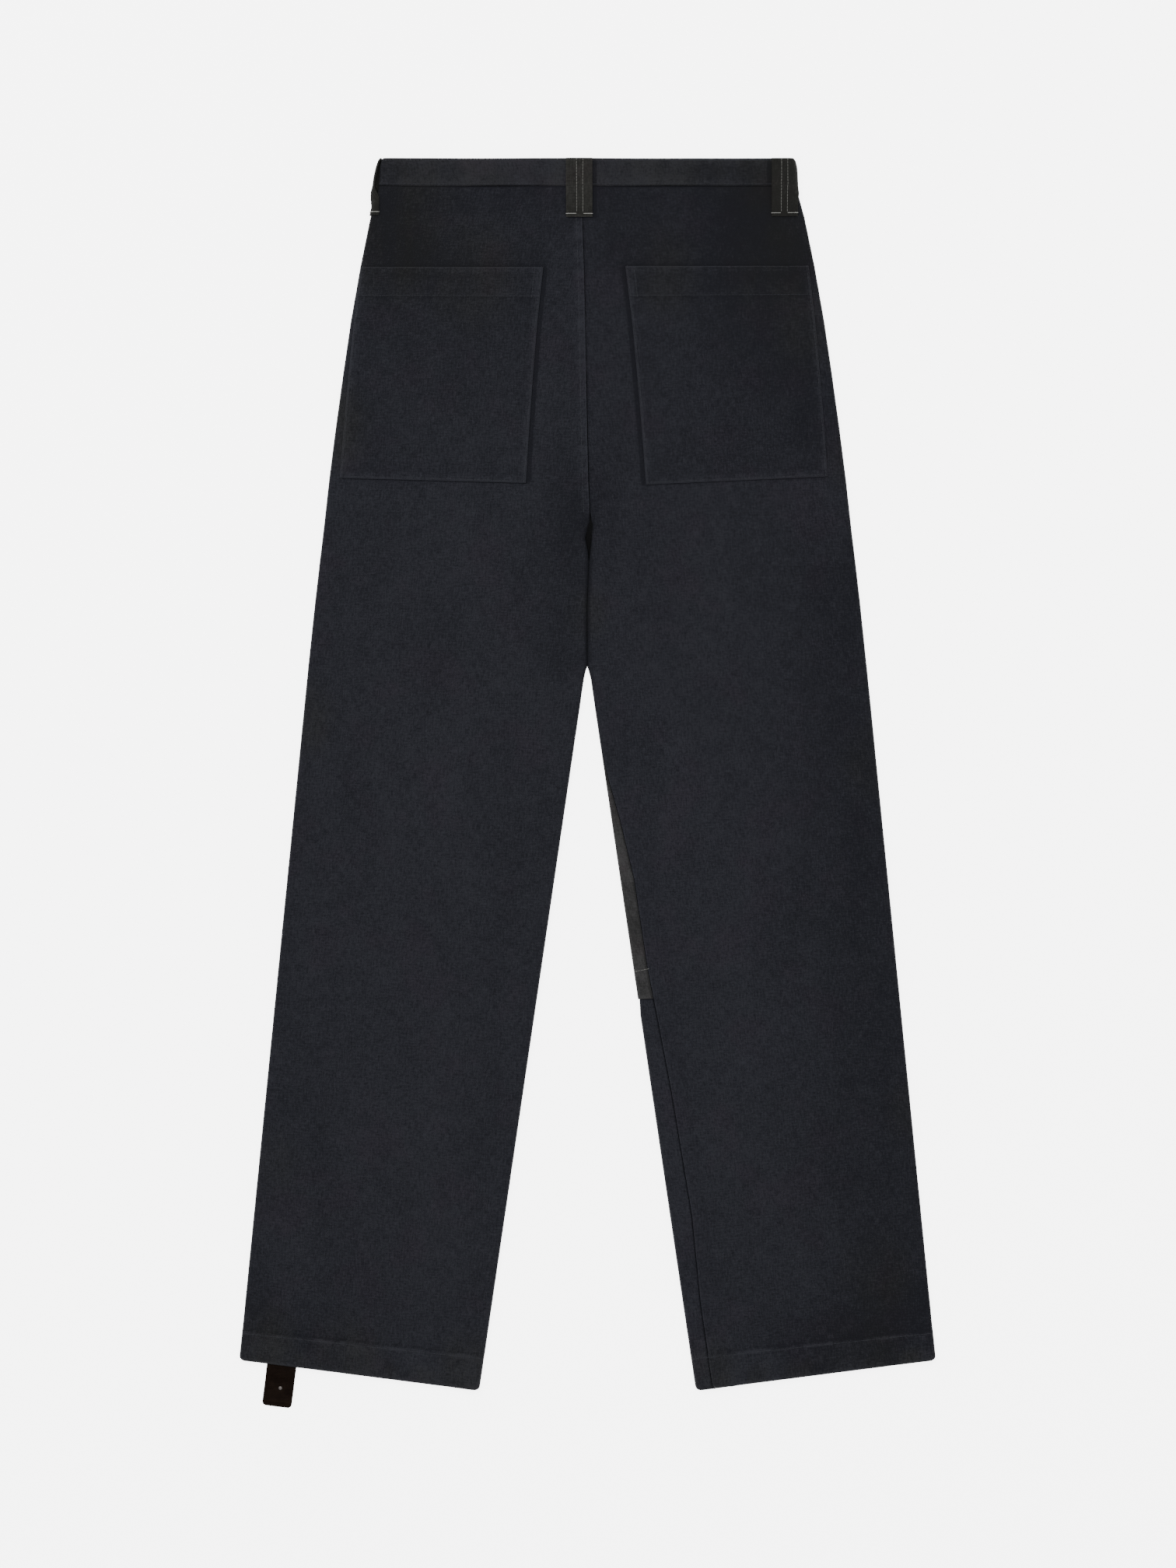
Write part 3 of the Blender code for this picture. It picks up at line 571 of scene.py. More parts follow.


# its darkening, rim and wear amounts set how strong the painted shade, painted shadow and painted highlights
# are, beside real wear
navyLook = {
    "deep": (0.0038, 0.0040, 0.0059), "pale": (0.0127, 0.0131, 0.0168),
    "oliveDeep": (0.0044, 0.0045, 0.0046), "olivePale": (0.0136, 0.0136, 0.0138),
    "cloudScale": 19.0, "patchScale": 75.0, "cloud": 0.34, "patch": 0.40, "rim": 0.42,
    "warp": 1.15, "weft": 0.85, "grain": 1.00, "rib": 0.20, "wearAndHighlight": 0.50, "shadeAndGrime": 0.38,
    "ribPitch": 0.00125, "ribDepth": 0.00016, "roughness": 0.94, "specular": 0.12, "sheen": 0.0,
}
# a near-black copy of the navy twill: painted shade for the hollow seen between the legs at the crotch
innerShadeLook = dict(navyLook, deep=(0.0004, 0.0004, 0.0006), pale=(0.0030, 0.0031, 0.0040))


def dyed(look, deep, pale, **changes):
    return dict(look, deep=deep, pale=pale, oliveDeep=deep, olivePale=pale, **changes)


oliveLook = dyed(navyLook, (0.0066, 0.0066, 0.0059), (0.0178, 0.0177, 0.0162), cloud=0.35, ribPitch=0.0011)
kneeLook = dyed(
    oliveLook, (0.0098, 0.0098, 0.0098), (0.0235, 0.0232, 0.0234), patch=0.9, cloud=0.8, cloudScale=40.0,
)


def leather(name):
    made = Finish(name)
    place = made.place()
    pores = made.node("ShaderNodeTexVoronoi", None, {"Vector": place, "Scale": 1500.0})
    clouds = made.noise(place, 150.0, 4.0)
    creased = made.noise(made.scaled(place, 1.0, 6.0), 110.0)
    level = (clouds * 0.7 + creased * 0.5 - 0.1 + made.attribute("wearAndHighlight") * 0.4).between(0.1, 0.95)
    return made.end(**{
        "Base Color": made.mix(level, (0.0021, 0.0011, 0.0008), (0.0070, 0.0040, 0.0026)),
        "Roughness": 0.70 - level * 0.12,
        "Specular IOR Level": 0.02,
        "Normal": made.bump(pores * 0.6 + creased, 0.00012),
    })


def dullMetal(name):
    made = Finish(name)
    clouds = made.noise(made.place(), 900.0)
    return made.end(**{
        "Base Color": made.mix(clouds, (0.045, 0.041, 0.039), (0.120, 0.108, 0.102)),
        "Metallic": 0.85,
        "Roughness": 0.48 + clouds * 0.2,
        "Normal": made.bump(clouds, 0.00005),
    })


def thread(name, deep, pale):
    made = Finish(name)
    fluff = made.noise(made.place(), 1400.0, 2.0)
    return made.end(**{
        "Base Color": made.mix(fluff, deep, pale),
        "Roughness": 0.8,
        "Specular IOR Level": 0.2,
        "Normal": made.bump(fluff, 0.00008),
    })


# Patches where the dye has turned greyer: x, y, radius, share
olivePatches = [
    (-0.175, 0.500, 0.050, 0.9), (-0.110, 0.470, 0.045, 0.6), (0.070, 0.470, 0.035, 0.5),
    (0.170, 0.480, 0.050, 0.8), (0.205, 0.420, 0.040, 0.6), (-0.235, 0.330, 0.035, 0.8),
    (0.238, 0.300, 0.022, 0.7), (-0.262, 0.060, 0.030, 0.6), (0.262, 0.020, 0.030, 0.6),
    (0.266, -0.455, 0.034, 0.6), (-0.285, -0.350, 0.026, 0.3), (0.295, -0.300, 0.024, 0.4),
    (-0.300, -0.520, 0.035, 0.8), (-0.220, -0.535, 0.040, 0.7), (-0.110, -0.540, 0.030, 0.6),
    (0.110, -0.545, 0.030, 0.5), (0.250, -0.535, 0.045, 0.6), (-0.165, 0.560, 0.050, 0.8),
    (0.165, 0.560, 0.050, 0.8), (0.0, 0.155, 0.020, 0.5),
]


def oliveAt(x, y):
    total = np.zeros_like(x)
    for patchX, patchY, radius, share in olivePatches:
        away = np.hypot(x - patchX, (y - patchY) * 0.8)
        total = np.maximum(total, share * (1 - ease((away - radius * 0.3) / radius)))
    return total


# Broad painted shade and light over the cloth: from and to in x, y, then radius and how much lighter
shadeBands = [
    (0.232, 0.190, 0.296, -0.500, 0.055, -0.18),
    (0.300, -0.490, 0.200, -0.520, 0.036, -0.20),
    (-0.300, -0.490, -0.240, -0.530, 0.032, -0.12),
    (-0.140, 0.060, -0.165, -0.470, 0.050, 0.05),
    (0.098, 0.120, 0.138, -0.420, 0.042, 0.05),
    (-0.190, 0.540, 0.190, 0.540, 0.024, -0.20),
    (-0.190, 0.520, -0.165, 0.490, 0.032, -0.27),
    (0.150, 0.525, 0.200, 0.490, 0.040, -0.30),
    (0.030, 0.492, 0.200, 0.488, 0.022, -0.12),
    (-0.200, 0.484, -0.050, 0.486, 0.012, -0.10),
    (0.000, 0.450, 0.000, 0.270, 0.030, -0.06),
    (-0.180, 0.500, 0.180, 0.500, 0.026, -0.10),
    (-0.006, 0.262, -0.006, 0.236, 0.030, -0.14),
    (-0.014, 0.240, -0.028, 0.110, 0.020, -0.14),
    (0.150, 0.440, 0.214, 0.350, 0.050, -0.14),
    (-0.180, 0.440, -0.070, 0.440, 0.030, -0.07),
    (-0.150, 0.330, -0.080, 0.312, 0.034, 0.06),
    (0.080, 0.345, 0.120, 0.312, 0.034, 0.04),
]
shadeBandTable = np.array(shadeBands)[:, :, None, None]


def shadeAt(x, y):
    fromX, fromY, toX, toY, radius, amount = shadeBandTable.transpose(1, 0, 2, 3)
    length = np.hypot(toX - fromX, toY - fromY) ** 2
    along = np.clip(((x - fromX) * (toX - fromX) + (y - fromY) * (toY - fromY)) / length, 0, 1)
    away = np.hypot(x - fromX - along * (toX - fromX), y - fromY - along * (toY - fromY))
    return (amount * np.exp(-(away / radius) ** 2)).sum(axis=0)


def edgeLine(distance, width):
    return np.exp(-(distance / width) ** 2)


# Patch pockets on the back
Pocket = namedtuple("Pocket", "side outerTop innerTop outerFoot innerFoot top foot footSlope")
pockets = {
    "left": Pocket(-1, 0.0024, 0.1700, 0.0110, 0.1830, 0.0999, 0.2940, 0.0045),
    "right": Pocket(1, 0.0072, 0.1758, 0.0180, 0.1862, 0.0990, 0.2925, 0.0075),
}
# how much darker each pocket is as a whole
pocketDarker = {"left": 0.22, "right": 0.28}
fromFold = 0.0027 * (math.pi / 2 - 1)
pocketMake = {"hem": 0.0262, "stitchIn": 0.0018, "cornerStitchIn": 0.0078, "puff": 0.0006, "hemRaise": 0.0003}


def outwards(row, base, reach, gauge):
    # the way out of the cloth at these places of a section
    run = base(row, reach + gauge) - base(row, reach - gauge)
    run = run / np.linalg.norm(run, axis=1)[:, None]
    return np.column_stack([-run[:, 2:3] * row.way, (run[:, :2] * row.way).sum(axis=1)])


def pocketFace(pocket, across, along):
    # points of a pocket's outer face, both shares from its upper outer corner
    across = np.asarray(across, float)
    outer = pocket.outerTop + (pocket.outerFoot - pocket.outerTop) * along
    inner = pocket.innerTop + (pocket.innerFoot - pocket.innerTop) * along
    width = inner - outer
    depth = pocket.foot - pocket.top
    fromTop = along * depth
    foot = pocket.foot + pocket.footSlope * across
    row = legRow(pocket.side, pocket.top + (foot - pocket.top) * along)
    reach = outer + width * across
    points = fromSide(row, reach) + outwards(row, fromSide, reach, 0.0005) * (cut["gap"] + cut["cloth"])
    edge = np.minimum(np.minimum(across, 1 - across) * width, (1 - along) * depth)
    rounded = -0.00045 * (1 - ease(edge / 0.0011)) - 0.00045 * (1 - ease(fromTop / 0.0009))
    inside = ease((edge - 0.002) / 0.02)
    waves = ripples(points[:, 0], points[:, 1], 0.060, 31 + pocket.side)
    swell = pocketMake["puff"] * inside * (0.55 + 0.45 * waves)
    gathers = wobble(along * depth + across * width, 0.011, 33 + pocket.side)
    pucker = 0.00016 * gathers * edgeLine(edge - pocketMake["stitchIn"], 0.0035)
    hemRise = pocketMake["hemRaise"] * (1 - ease((fromTop - pocketMake["hem"]) / 0.0016))
    points[:, 2] += rounded + np.maximum(swell, 0) + pucker + hemRise
    return points


def patchPocket(word):
    pocket = pockets[word]
    width = pocket.innerTop - pocket.outerTop
    depth = pocket.foot - pocket.top
    close = np.array([0.0, 0.0003, 0.0007, 0.0012, 0.0018, 0.0026, 0.0040, 0.0060])
    acrossAt = np.concatenate([close, np.linspace(0.0085, width - 0.0085, 62), width - close[::-1]]) / width
    hemAt = pocketMake["hem"] + np.array([-0.0010, 0.0, 0.0008, 0.0016, 0.0026])
    above, below = np.linspace(0.0085, 0.0235, 6), np.linspace(0.0310, depth - 0.0085, 56)
    alongAt = np.concatenate([close, above, hemAt, below, depth - close[::-1]]) / depth
    lines = [pocketFace(pocket, acrossAt, along) for along in alongAt[::-1]]
    points = np.array(lines)
    x, y = points[..., 0], points[..., 1]
    downs = alongAt[::-1, None] * depth
    edge = np.minimum(np.minimum(acrossAt, 1 - acrossAt)[None, :] * width, np.minimum(depth - downs, downs))
    patchy = 0.6 + 0.4 * wobble(downs + acrossAt[None, :] * width, 0.016, 35)
    fromInnerEdge = (1 - acrossAt)[None, :] * width
    fromHem = downs - pocketMake["hem"]
    cornerStitch = edgeLine(fromInnerEdge - 0.0045, 0.0028) * (1 - ease(fromHem / 0.002))
    # lighter at the pocket's edges: wear, and painted highlight on the folded edges
    wearAndHighlight = edgeLine(edge, 0.0008) * 1.8 + edgeLine(edge - 0.0030, 0.0028) * 0.45 * patchy + cornerStitch * 0.3
    wearAndHighlight = wearAndHighlight + edgeLine(fromHem + 0.0012, 0.0016) * 0.16 * patchy
    # painted shade in a line under the hem's fold, and darker in a band inside the stitching
    shadeAndGrime = edgeLine(fromHem - 0.0016, 0.0012) * 0.30 + 0.20 * edgeLine(edge - 0.0075, 0.0022) * patchy
    shadeAndGrime = shadeAndGrime + pocketDarker[word]
    values = {"wearAndHighlight": wearAndHighlight, "shadeAndGrime": shadeAndGrime, "olive": oliveAt(x, y), "shade": shadeAt(x, y)}
    us = np.broadcast_to(acrossAt * width * pocket.side, points.shape[:2]) + 0.3
    vs = alongAt[::-1] * depth + 0.4
    piece, area = makeCloth("backPocket" + word.title(), lines, us, vs, cut["cloth"], True, navyTwill, values)
    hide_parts("back_pocket_" + word)
    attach(piece, "root")
    depth + 0.008
    min(area, width * depth)


def grooveShade(x, down):
    # the hollow between the thighs, and the soft dark above it
    along = ease((down - 0.326) / 0.012) * (1 - ease((down - 0.45) / 0.03))
    return along * edgeLine(x - seatSeamX(down), 0.0028)


def rimAt(side, x, down):
    # how far each place is from the pocket, loop or band that lies over it, which sets the painted shadow
    # along their edges
    edge = reading(sections, "half", down) - side * x
    pocket = pockets["left" if side < 0 else "right"]
    along = np.clip((down - pocket.top) / (pocket.foot - pocket.top), 0, 1)
    outer = pocket.outerTop + (pocket.outerFoot - pocket.outerTop) * along + fromFold
    inner = pocket.innerTop + (pocket.innerFoot - pocket.innerTop) * along + fromFold
    foot = pocket.foot + pocket.footSlope * (edge - outer) / (inner - outer)
    toPocket = np.maximum(np.maximum(outer - edge, edge - inner), np.maximum(pocket.top - down, down - foot))
    toBand = down - cut["bandDepth"] - 0.0006
    return np.clip(np.minimum(np.minimum(toPocket, toBand), rimOfLoops(x, down)), -0.004, 0.02)


def rimOfLoops(x, down):
    nearest = np.full(np.shape(x), 0.02)
    onBand = down <= cut["bandDepth"]
    half = np.where(onBand, reading(bandRows, "half", down), reading(sections, "half", down))
    flare = half - bandRows[-1].half
    for word in ("centre", "right"):
        loop = loops[word]
        first, last = [loop.side * (half - (side + flare + fromFold)) for side in (loop.first, loop.last)]
        toSides = np.maximum(np.minimum(first, last) - x, x - np.maximum(first, last))
        nearest = np.minimum(nearest, np.maximum(toSides, down - loop.foot))
    return nearest


def backPanel(word, side):
    fromSideFold = np.array([0.0015, 0.004, 0.007, 0.011, 0.016, 0.022, 0.028])
    fromInnerFold = np.array([
        0.0006, 0.0014, 0.0024, 0.0036, 0.0048, 0.0060, 0.0072,
        0.0086, 0.0102, 0.0130, 0.0165, 0.0210, 0.0270,
    ])
    downs = panelRows(side, 0.0034)
    lines, us = [], []
    for down in downs:
        row = legRow(side, down)
        sideReach = np.concatenate([np.linspace(row.under, row.quarter, 11), row.quarter + fromSideFold])
        end = innerEnd(row, True)
        wanted = np.concatenate([np.linspace(-row.quarter, row.quarter, 9), row.quarter + fromInnerFold])
        least = end + 0.0005 * (1 + np.arange(len(wanted)))
        innerReach = np.concatenate([[end, end + 0.00025], np.maximum(wanted, least)])
        line, u = lineAcross(row, sideReach, innerReach, 0.0, True, 66)
        lines.append(line)
        us.append(u)
    points = np.array(lines)
    x, y = points[..., 0], points[..., 1]
    down = np.array(downs)[:, None] + 0 * x
    fromEnd = np.array([abs(u[-1] - u) for u in us])
    left = seatSeamX(down) - x
    onSeat = 1 - ease((down - 0.318) / 0.012)
    patchy = 0.55 + 0.45 * wobble(down, 0.013, 13)
    edge = reading(sections, "half", down) - side * x
    # beside the seat seam the raised left edge is lighter: painted highlight, with some wear
    besideSeam = edgeLine(left - 0.0045, 0.0035) * patchy * 0.7 * (left > 0)
    wearAndHighlight = onSeat * (edgeLine(left - 0.0008, 0.0010) * 0.8 + besideSeam)
    alongHem = np.clip(0.35 + 0.8 * wobble(x, 0.050, 41 + side), 0, 1)
    wearAndHighlight = wearAndHighlight + 0.95 * edgeLine(down - hem["line"], 0.0015) * alongHem
    wearAndHighlight = wearAndHighlight + 0.9 * edgeLine(down - cut["outseam"], 0.0020)
    mottled = 0.12 + 0.22 * wobble(x, 0.045, 43 + side) + 0.14 * ripples(x, y, 0.018, 45)
    wearAndHighlight = wearAndHighlight + mottled * ease((down - hem["faded"]) / 0.004)
    nicks = ease((wobble(x, 0.014, 47 + side) - 0.25) / 0.2)
    wearAndHighlight = wearAndHighlight + 0.45 * edgeLine(down - hem["nicks"], 0.0012) * nicks
    rubbed = 0.35 + 0.75 * np.clip(wobble(down, 0.030, 49), 0, 1)
    wearAndHighlight = wearAndHighlight + rubbed * edgeLine(fromEnd, 0.0012) * ease((down - 0.50) / 0.05)
    # painted shadow right of the seat seam's ridge, and painted shade in the hollow between the thighs
    shadeAndGrime = onSeat * edgeLine(left + 0.0008, 0.0010) * 0.55 + grooveShade(x, down) * 1.4
    # painted shade above the hem's step and along the side fold's edge
    shadeAndGrime = shadeAndGrime + 0.45 * edgeLine(down - hem["shadow"], 0.0016) + 0.5 * edgeLine(edge, 0.0015)
    # painted shade along the inner fold's end, below the crotch
    ends = np.array([innerEnd(legRow(side, at), True) for at in downs])[:, None]
    shadeAndGrime = shadeAndGrime + 0.5 * edgeLine(fromEnd + ends - 0.0004, 0.0017) * ease((down - 0.36) / 0.01)
    # painted shadow under each pocket's mouth
    pocket = pockets[word]
    inPocket = ease((edge - pocket.outerTop) / 0.01) * (1 - ease((edge - pocket.innerTop) / 0.006))
    shadeAndGrime = shadeAndGrime + 0.55 * inPocket * edgeLine(down - pocket.top, 0.0055)
    hemOlive = 0.80 * ease((down - 1.086) / 0.012) * np.clip(0.60 + 0.60 * wobble(x, 0.034, 48 + side), 0, 1)
    olive = np.maximum(oliveAt(x, y), hemOlive)
    shade, rim = shadeAt(x, y), rimAt(side, x, down)
    values = {"wearAndHighlight": wearAndHighlight, "shadeAndGrime": shadeAndGrime, "olive": olive, "shade": shade, "rim": rim}
    name = "backPanel" + word.title()
    piece, area = makeCloth(name, lines, us, downs, cut["hemWall"], True, navyTwill, values, hem["turn"])
    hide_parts("back_panel_" + word)
    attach(piece, "root")


def coverAt(side, down):
    # how far the front keeps in to leave room for the knee panel over it
    if side < 0:
        return 0.0
    inside = min(down - (knee["top"] - knee["ramp"]), knee["foot"] + knee["ramp"] - down)
    return (cut["cloth"] + cut["gap"]) * min(max(inside / knee["ramp"], 0.0), 1.0)


def frontReaches(row):
    # where a front panel's points lie round the side fold and the inner one
    inwards = np.array([0.0, 0.0008, 0.0020, 0.0045, 0.0100, 0.0170, 0.0240])
    sideReach = row.under - cut["gap"] - inwards
    end = innerEnd(row, False)
    if row.side < 0:
        return sideReach, end - inwards
    rolled = max(end - row.quarter, 0.0)
    wanted = np.concatenate([
        row.quarter + np.array([0.94, 0.84, 0.68, 0.50, 0.32, 0.15]) * rolled,
        np.linspace(row.quarter, -row.quarter, 9),
        -row.quarter - np.array([0.003, 0.008, 0.015, 0.024]),
    ])
    most = end - 0.0004 * (1 + np.arange(len(wanted)))
    return sideReach, np.concatenate([[end], np.minimum(wanted, most)])


def frontPanel(word, side):
    downs = panelRows(side, 0.0062)
    lines, us = [], []
    for down in downs:
        row = legRow(side, down)
        line, u = lineAcross(row, *frontReaches(row), coverAt(side, down), False, 30)
        lines.append(line)
        us.append(u)
    points = np.array(lines)
    down = np.array(downs)[:, None] + 0 * points[..., 0]
    wearAndHighlight = 0.45 * edgeLine(down - hem["line"], 0.0016) + 0.7 * edgeLine(down - cut["outseam"], 0.0016) + 0.1
    fromEnd = np.array([abs(u[-1] - u) for u in us])
    # rim: distance from the knee panel's free foot and from the inner end, for the painted shadow there
    onKnee = np.where(down > knee["foot"] - 0.01, np.clip(down - knee["foot"], -0.004, 0.02), 0.02)
    rim = np.minimum(fromEnd, onKnee) if side > 0 else fromEnd
    olive = oliveAt(points[..., 0], points[..., 1])
    values = {"wearAndHighlight": wearAndHighlight, "olive": olive, "rim": np.clip(rim, -0.004, 0.02)}
    name = "frontPanel" + word.title()
    piece, area = makeCloth(name, lines, us, downs, cut["hemWall"], False, navyTwill, values, hem["turn"])
    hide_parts("front_panel_" + word)
    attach(piece, "root")


def kneePanel():
    downs = [knee["foot"] - back for back in (0.0, 0.0003, 0.0008, 0.0016)]
    between = [down for down in panelRows(1, 0.0040) if knee["top"] + 0.0005 < down < downs[-1] - 0.0005]
    downs += between + [knee["top"]]
    lines, us = [], []
    for down in downs:
        row = legRow(1, down)
        line, u = lineAcross(row, *frontReaches(row), 0.0, False, 34)
        lines.append(line)
        us.append(u)
    points = np.array(lines)
    down = np.array(downs)[:, None] + 0 * points[..., 0]
    x, y = points[..., 0], points[..., 1]
    wearAndHighlight = 0.4 * edgeLine(down - knee["foot"], 0.0012) + 0.25 * ripples(x, y, 0.035, 52) + 0.10
    # darker in a band above the stitch line, in random patches and towards the panel's top
    shadeAndGrime = 0.35 * edgeLine(down - knee["foot"] + knee["stitchUp"] + 0.004, 0.004)
    shadeAndGrime = shadeAndGrime + 0.6 * np.maximum(ripples(x, y, 0.050, 53), 0)
    shadeAndGrime = shadeAndGrime + 0.5 * ease((0.64 - down) / 0.12)
    fromEnd = np.array([abs(u[-1] - u) for u in us])
    # painted shade along the panel's inner end, where it rolls under; the rim sets painted shadow there too
    ends = np.array([innerEnd(legRow(1, at), False) for at in downs])[:, None]
    shadeAndGrime = shadeAndGrime + 0.9 * edgeLine(ends - fromEnd - 0.0003, 0.0018)
    values = {"wearAndHighlight": wearAndHighlight, "shadeAndGrime": shadeAndGrime, "rim": np.clip(fromEnd * 0.6, 0, 0.02)}
    piece, area = makeCloth("kneePanelRight", lines, us, downs, cut["cloth"], False, kneeTwill, values)
    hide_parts("knee_panel_right")
    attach(piece, "root")


band = {"openingX": -0.0030, "extension": 0.0380, "ramp": 0.0120, "stitchIn": 0.0019}


def bandPoint(side, down, reach):
    # the waistband's outer face by the distance along it from a side fold
    distance, height = foldProfile(np.asarray(reach, float), cut["bandFold"] / 2, cut["bandMiddle"], 0.0)
    return side * (reading(bandRows, "half", down) - distance), height


def bandPoints(x, height, down):
    # the same places with the band's own waves, its rounded top edge and its lifts
    rise = ease((height - 0.0012) / 0.0030)
    y = cut["topY"] - down
    edge = min(down, cut["bandDepth"] - down)
    gathers = 0.00022 * wobble(x + down * 0.4, 0.012, 62) * edgeLine(edge - 0.002, 0.0035)
    waves = 0.00030 * ripples(x, np.full_like(x, y), 0.050, 61) + gathers
    rounded = -0.0006 * (1 - ease(edge / 0.0012))
    seamWave = 0.0006 * wobble(x, 0.160, 63) * ease(down / cut["bandDepth"]) * rise
    return np.column_stack([x, y - seamWave, height + rise * (waves + rounded) + floorLift(x, down)])


def bandLine(down):
    # once round the band from the extension's tip: the right front, the back, then the left front
    inside = cut["bandWall"] + cut["gap"]
    start = band["openingX"] + cut["gap"]
    quarter = math.pi / 4 * cut["bandFold"]
    around = np.linspace(quarter, -quarter, 11)
    back = np.linspace(quarter + 0.003, quarter + 0.003 + 0.024, 7)
    right = reading(bandRows, "half", down) - 0.0125
    shares = np.array([0.25, 0.5, 0.75, 1.0])
    rightX, rightZ = bandPoint(1, down, np.concatenate([[-0.009, -1.2 * quarter], around[::-1], back]))
    leftX, leftZ = bandPoint(-1, down, np.concatenate([back[::-1], around]))
    parts = [
        (np.linspace(start - band["extension"], start, 8), inside),
        (start + shares * band["ramp"], inside * (1 - shares)),
        (np.linspace(start + band["ramp"] + 0.006, right, 26), 0.0),
        (rightX, rightZ),
        (np.linspace(rightX[-1] - 0.004, leftX[0] + 0.004, 82), cut["bandMiddle"]),
        (leftX, leftZ),
        (np.linspace(-right - 0.001, band["openingX"], 26), 0.0),
    ]
    x = np.concatenate([part for part, height in parts])
    return x, np.concatenate([np.broadcast_to(height, part.shape) for part, height in parts])


def waistband():
    downs = np.array([
        0.0, 0.0004, 0.0009, 0.0015, 0.0022, 0.0032, 0.0050, 0.0070, 0.0090, 0.0115,
        0.0140, 0.0165, 0.0190, 0.0210, 0.0225, 0.0236, 0.0244, 0.0250, 0.0254,
    ])[::-1]
    lines, us = [], []
    for down in downs:
        x, z = bandLine(down)
        line = bandPoints(x, z, down)
        lines.append(line)
        us.append(lengthAlong(line))
    x, y, z = np.moveaxis(np.array(lines), 2, 0)
    down = downs[:, None] + 0 * x
    edge = np.minimum(down, cut["bandDepth"] - down)
    patchy = 0.6 + 0.4 * wobble(x, 0.014, 64)
    mottled = 0.16 * wobble(x, 0.045, 65) + 0.12 * ripples(x, y, 0.020, 66)
    wearAndHighlight = 0.40 * edgeLine(down - 0.0014, 0.0010) + 0.40 * edgeLine(edge - 0.003, 0.003) * patchy
    wearAndHighlight = wearAndHighlight + 0.24 * (1 - ease((np.abs(x + 0.02) - 0.07) / 0.09)) + mottled
    # darker along the band's lower and top edges, towards the right and at its ends
    shadeAndGrime = 0.35 * edgeLine(down - cut["bandDepth"], 0.0012) + 0.36 * ease(x / 0.15)
    shadeAndGrime = shadeAndGrime + 0.5 * edgeLine(down, 0.0008) + 0.32 * ease((np.abs(x) - 0.150) / 0.03)
    olive = np.maximum(oliveAt(x, y), 0.62)
    # rim: distance from the loops' edges, for the painted shadow beside them
    rim = np.clip(np.where(z > 0.003, rimOfLoops(x, down), 0.02), -0.004, 0.02)
    values = {"wearAndHighlight": wearAndHighlight, "shadeAndGrime": shadeAndGrime, "olive": olive, "rim": rim}
    piece, _ = makeCloth("waistBand", lines, us, 0.8 + downs, cut["bandWall"], False, navyTwill, values)
    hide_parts("waistband")
    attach(piece, "root")


def seatAllowance():
    # the seat seam's allowance lies inside, behind both seams, and on below the crotch; its near-black twill
    # and full darkening are painted shade for the hollow seen between the legs
    downs = list(np.arange(0.3720, 0.1880, -0.0035))
    lines, us = [], []
    for down in downs:
        aside = np.array([-0.0075, -0.005, -0.0025, 0.0, 0.0025, 0.005, 0.0075])
        level = cut["cloth"] + 0.0006 + 0.00025 * np.cos(aside * 600) + 0.0002 * float(wobble(down, 0.03, 71))
        lines.append(np.column_stack([seatSeamX(down) + aside, np.full(7, cut["topY"] - down), level]))
        us.append(aside)
    piece, area = makeCloth("seatAllowance", lines, us, downs, 0.0004, True, innerShadeTwill, {"shadeAndGrime": 1.2})
    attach(piece, "root")


# Belt loops: the edges' distances along the band from a side fold, and the stitch rows between them
Loop = namedtuple("Loop", "side first last bowOut bowUp foot rows darker")
loops = {
    "left": Loop(-1, -0.0224, 0.0019, 0.0045, 0.0, 0.0526, (-0.0132, -0.0076), 1.0),
    "centre": Loop(-1, 0.1736, 0.1979, 0.0, 0.0006, 0.0540, (0.1834, 0.1891), 0.20),
    "right": Loop(1, 0.0, 0.0243, 0.0006, 0.0010, 0.0533, (0.0096, 0.0152), 1.22),
}
loopSteps = {
    "down": (0.0, 0.0022, 0.0080, 0.0170, 0.0254, 0.0315, 0.0375, 0.0450),
    "share": (0.35, 0.35, 0.50, 0.85, 1.0, 1.0, 0.65, 0.0),
}


def bandBase(row, reach):
    x, z = bandPoint(row.side, row.down, reach)
    return bandPoints(x, z, row.down)


def loopFace(loop, down, wanted, out=0.0):
    # points of a loop's outer face, over the band and on to the panel below it
    row = legRow(loop.side, max(down, sections[0].down))
    onBand = down <= cut["bandDepth"]
    half = reading(bandRows if onBand else sections, "half", down)
    flare = half - bandRows[-1].half
    if loop.bowOut > 0.002:
        flare = max(flare, 0.0)
    if onBand:
        row = row._replace(down=down, way=np.array([-loop.side, 0.0]))
    base = bandBase if onBand else fromSide
    reach = np.asarray(wanted, float) + flare
    points = base(row, reach)
    way = outwards(row, base, reach, 0.0005)
    share = float(np.interp(down, loopSteps["down"], loopSteps["share"]))
    edge = np.minimum(wanted - loop.first, loop.last - wanted)
    rounded = 0.0005 * (1 - ease(edge / 0.0010))
    middle = 0.5 * (loop.first + loop.last)
    crown = 0.00045 * np.cos((wanted - middle) / (loop.last - loop.first) * math.pi)
    crown = crown * ease(down / 0.01) * ease((loop.foot - down) / 0.01)
    gutter = sum(0.00022 * edgeLine(wanted - rowAt, 0.0009) for rowAt in loop.rows)
    seat = cut["gap"] + cut["loopWall"] + (crown - gutter) * (way[:, 2] > 0) - rounded + out
    points = points + way * seat[:, None]
    points[:, :2] += way[:, :2] * (loop.bowOut * share)
    points[:, 2] += np.maximum(way[:, 2], 0.0) * loop.bowUp * share
    points[:, 2] = np.maximum(points[:, 2], -0.0002)  # it lies on the floor under the side fold
    return points


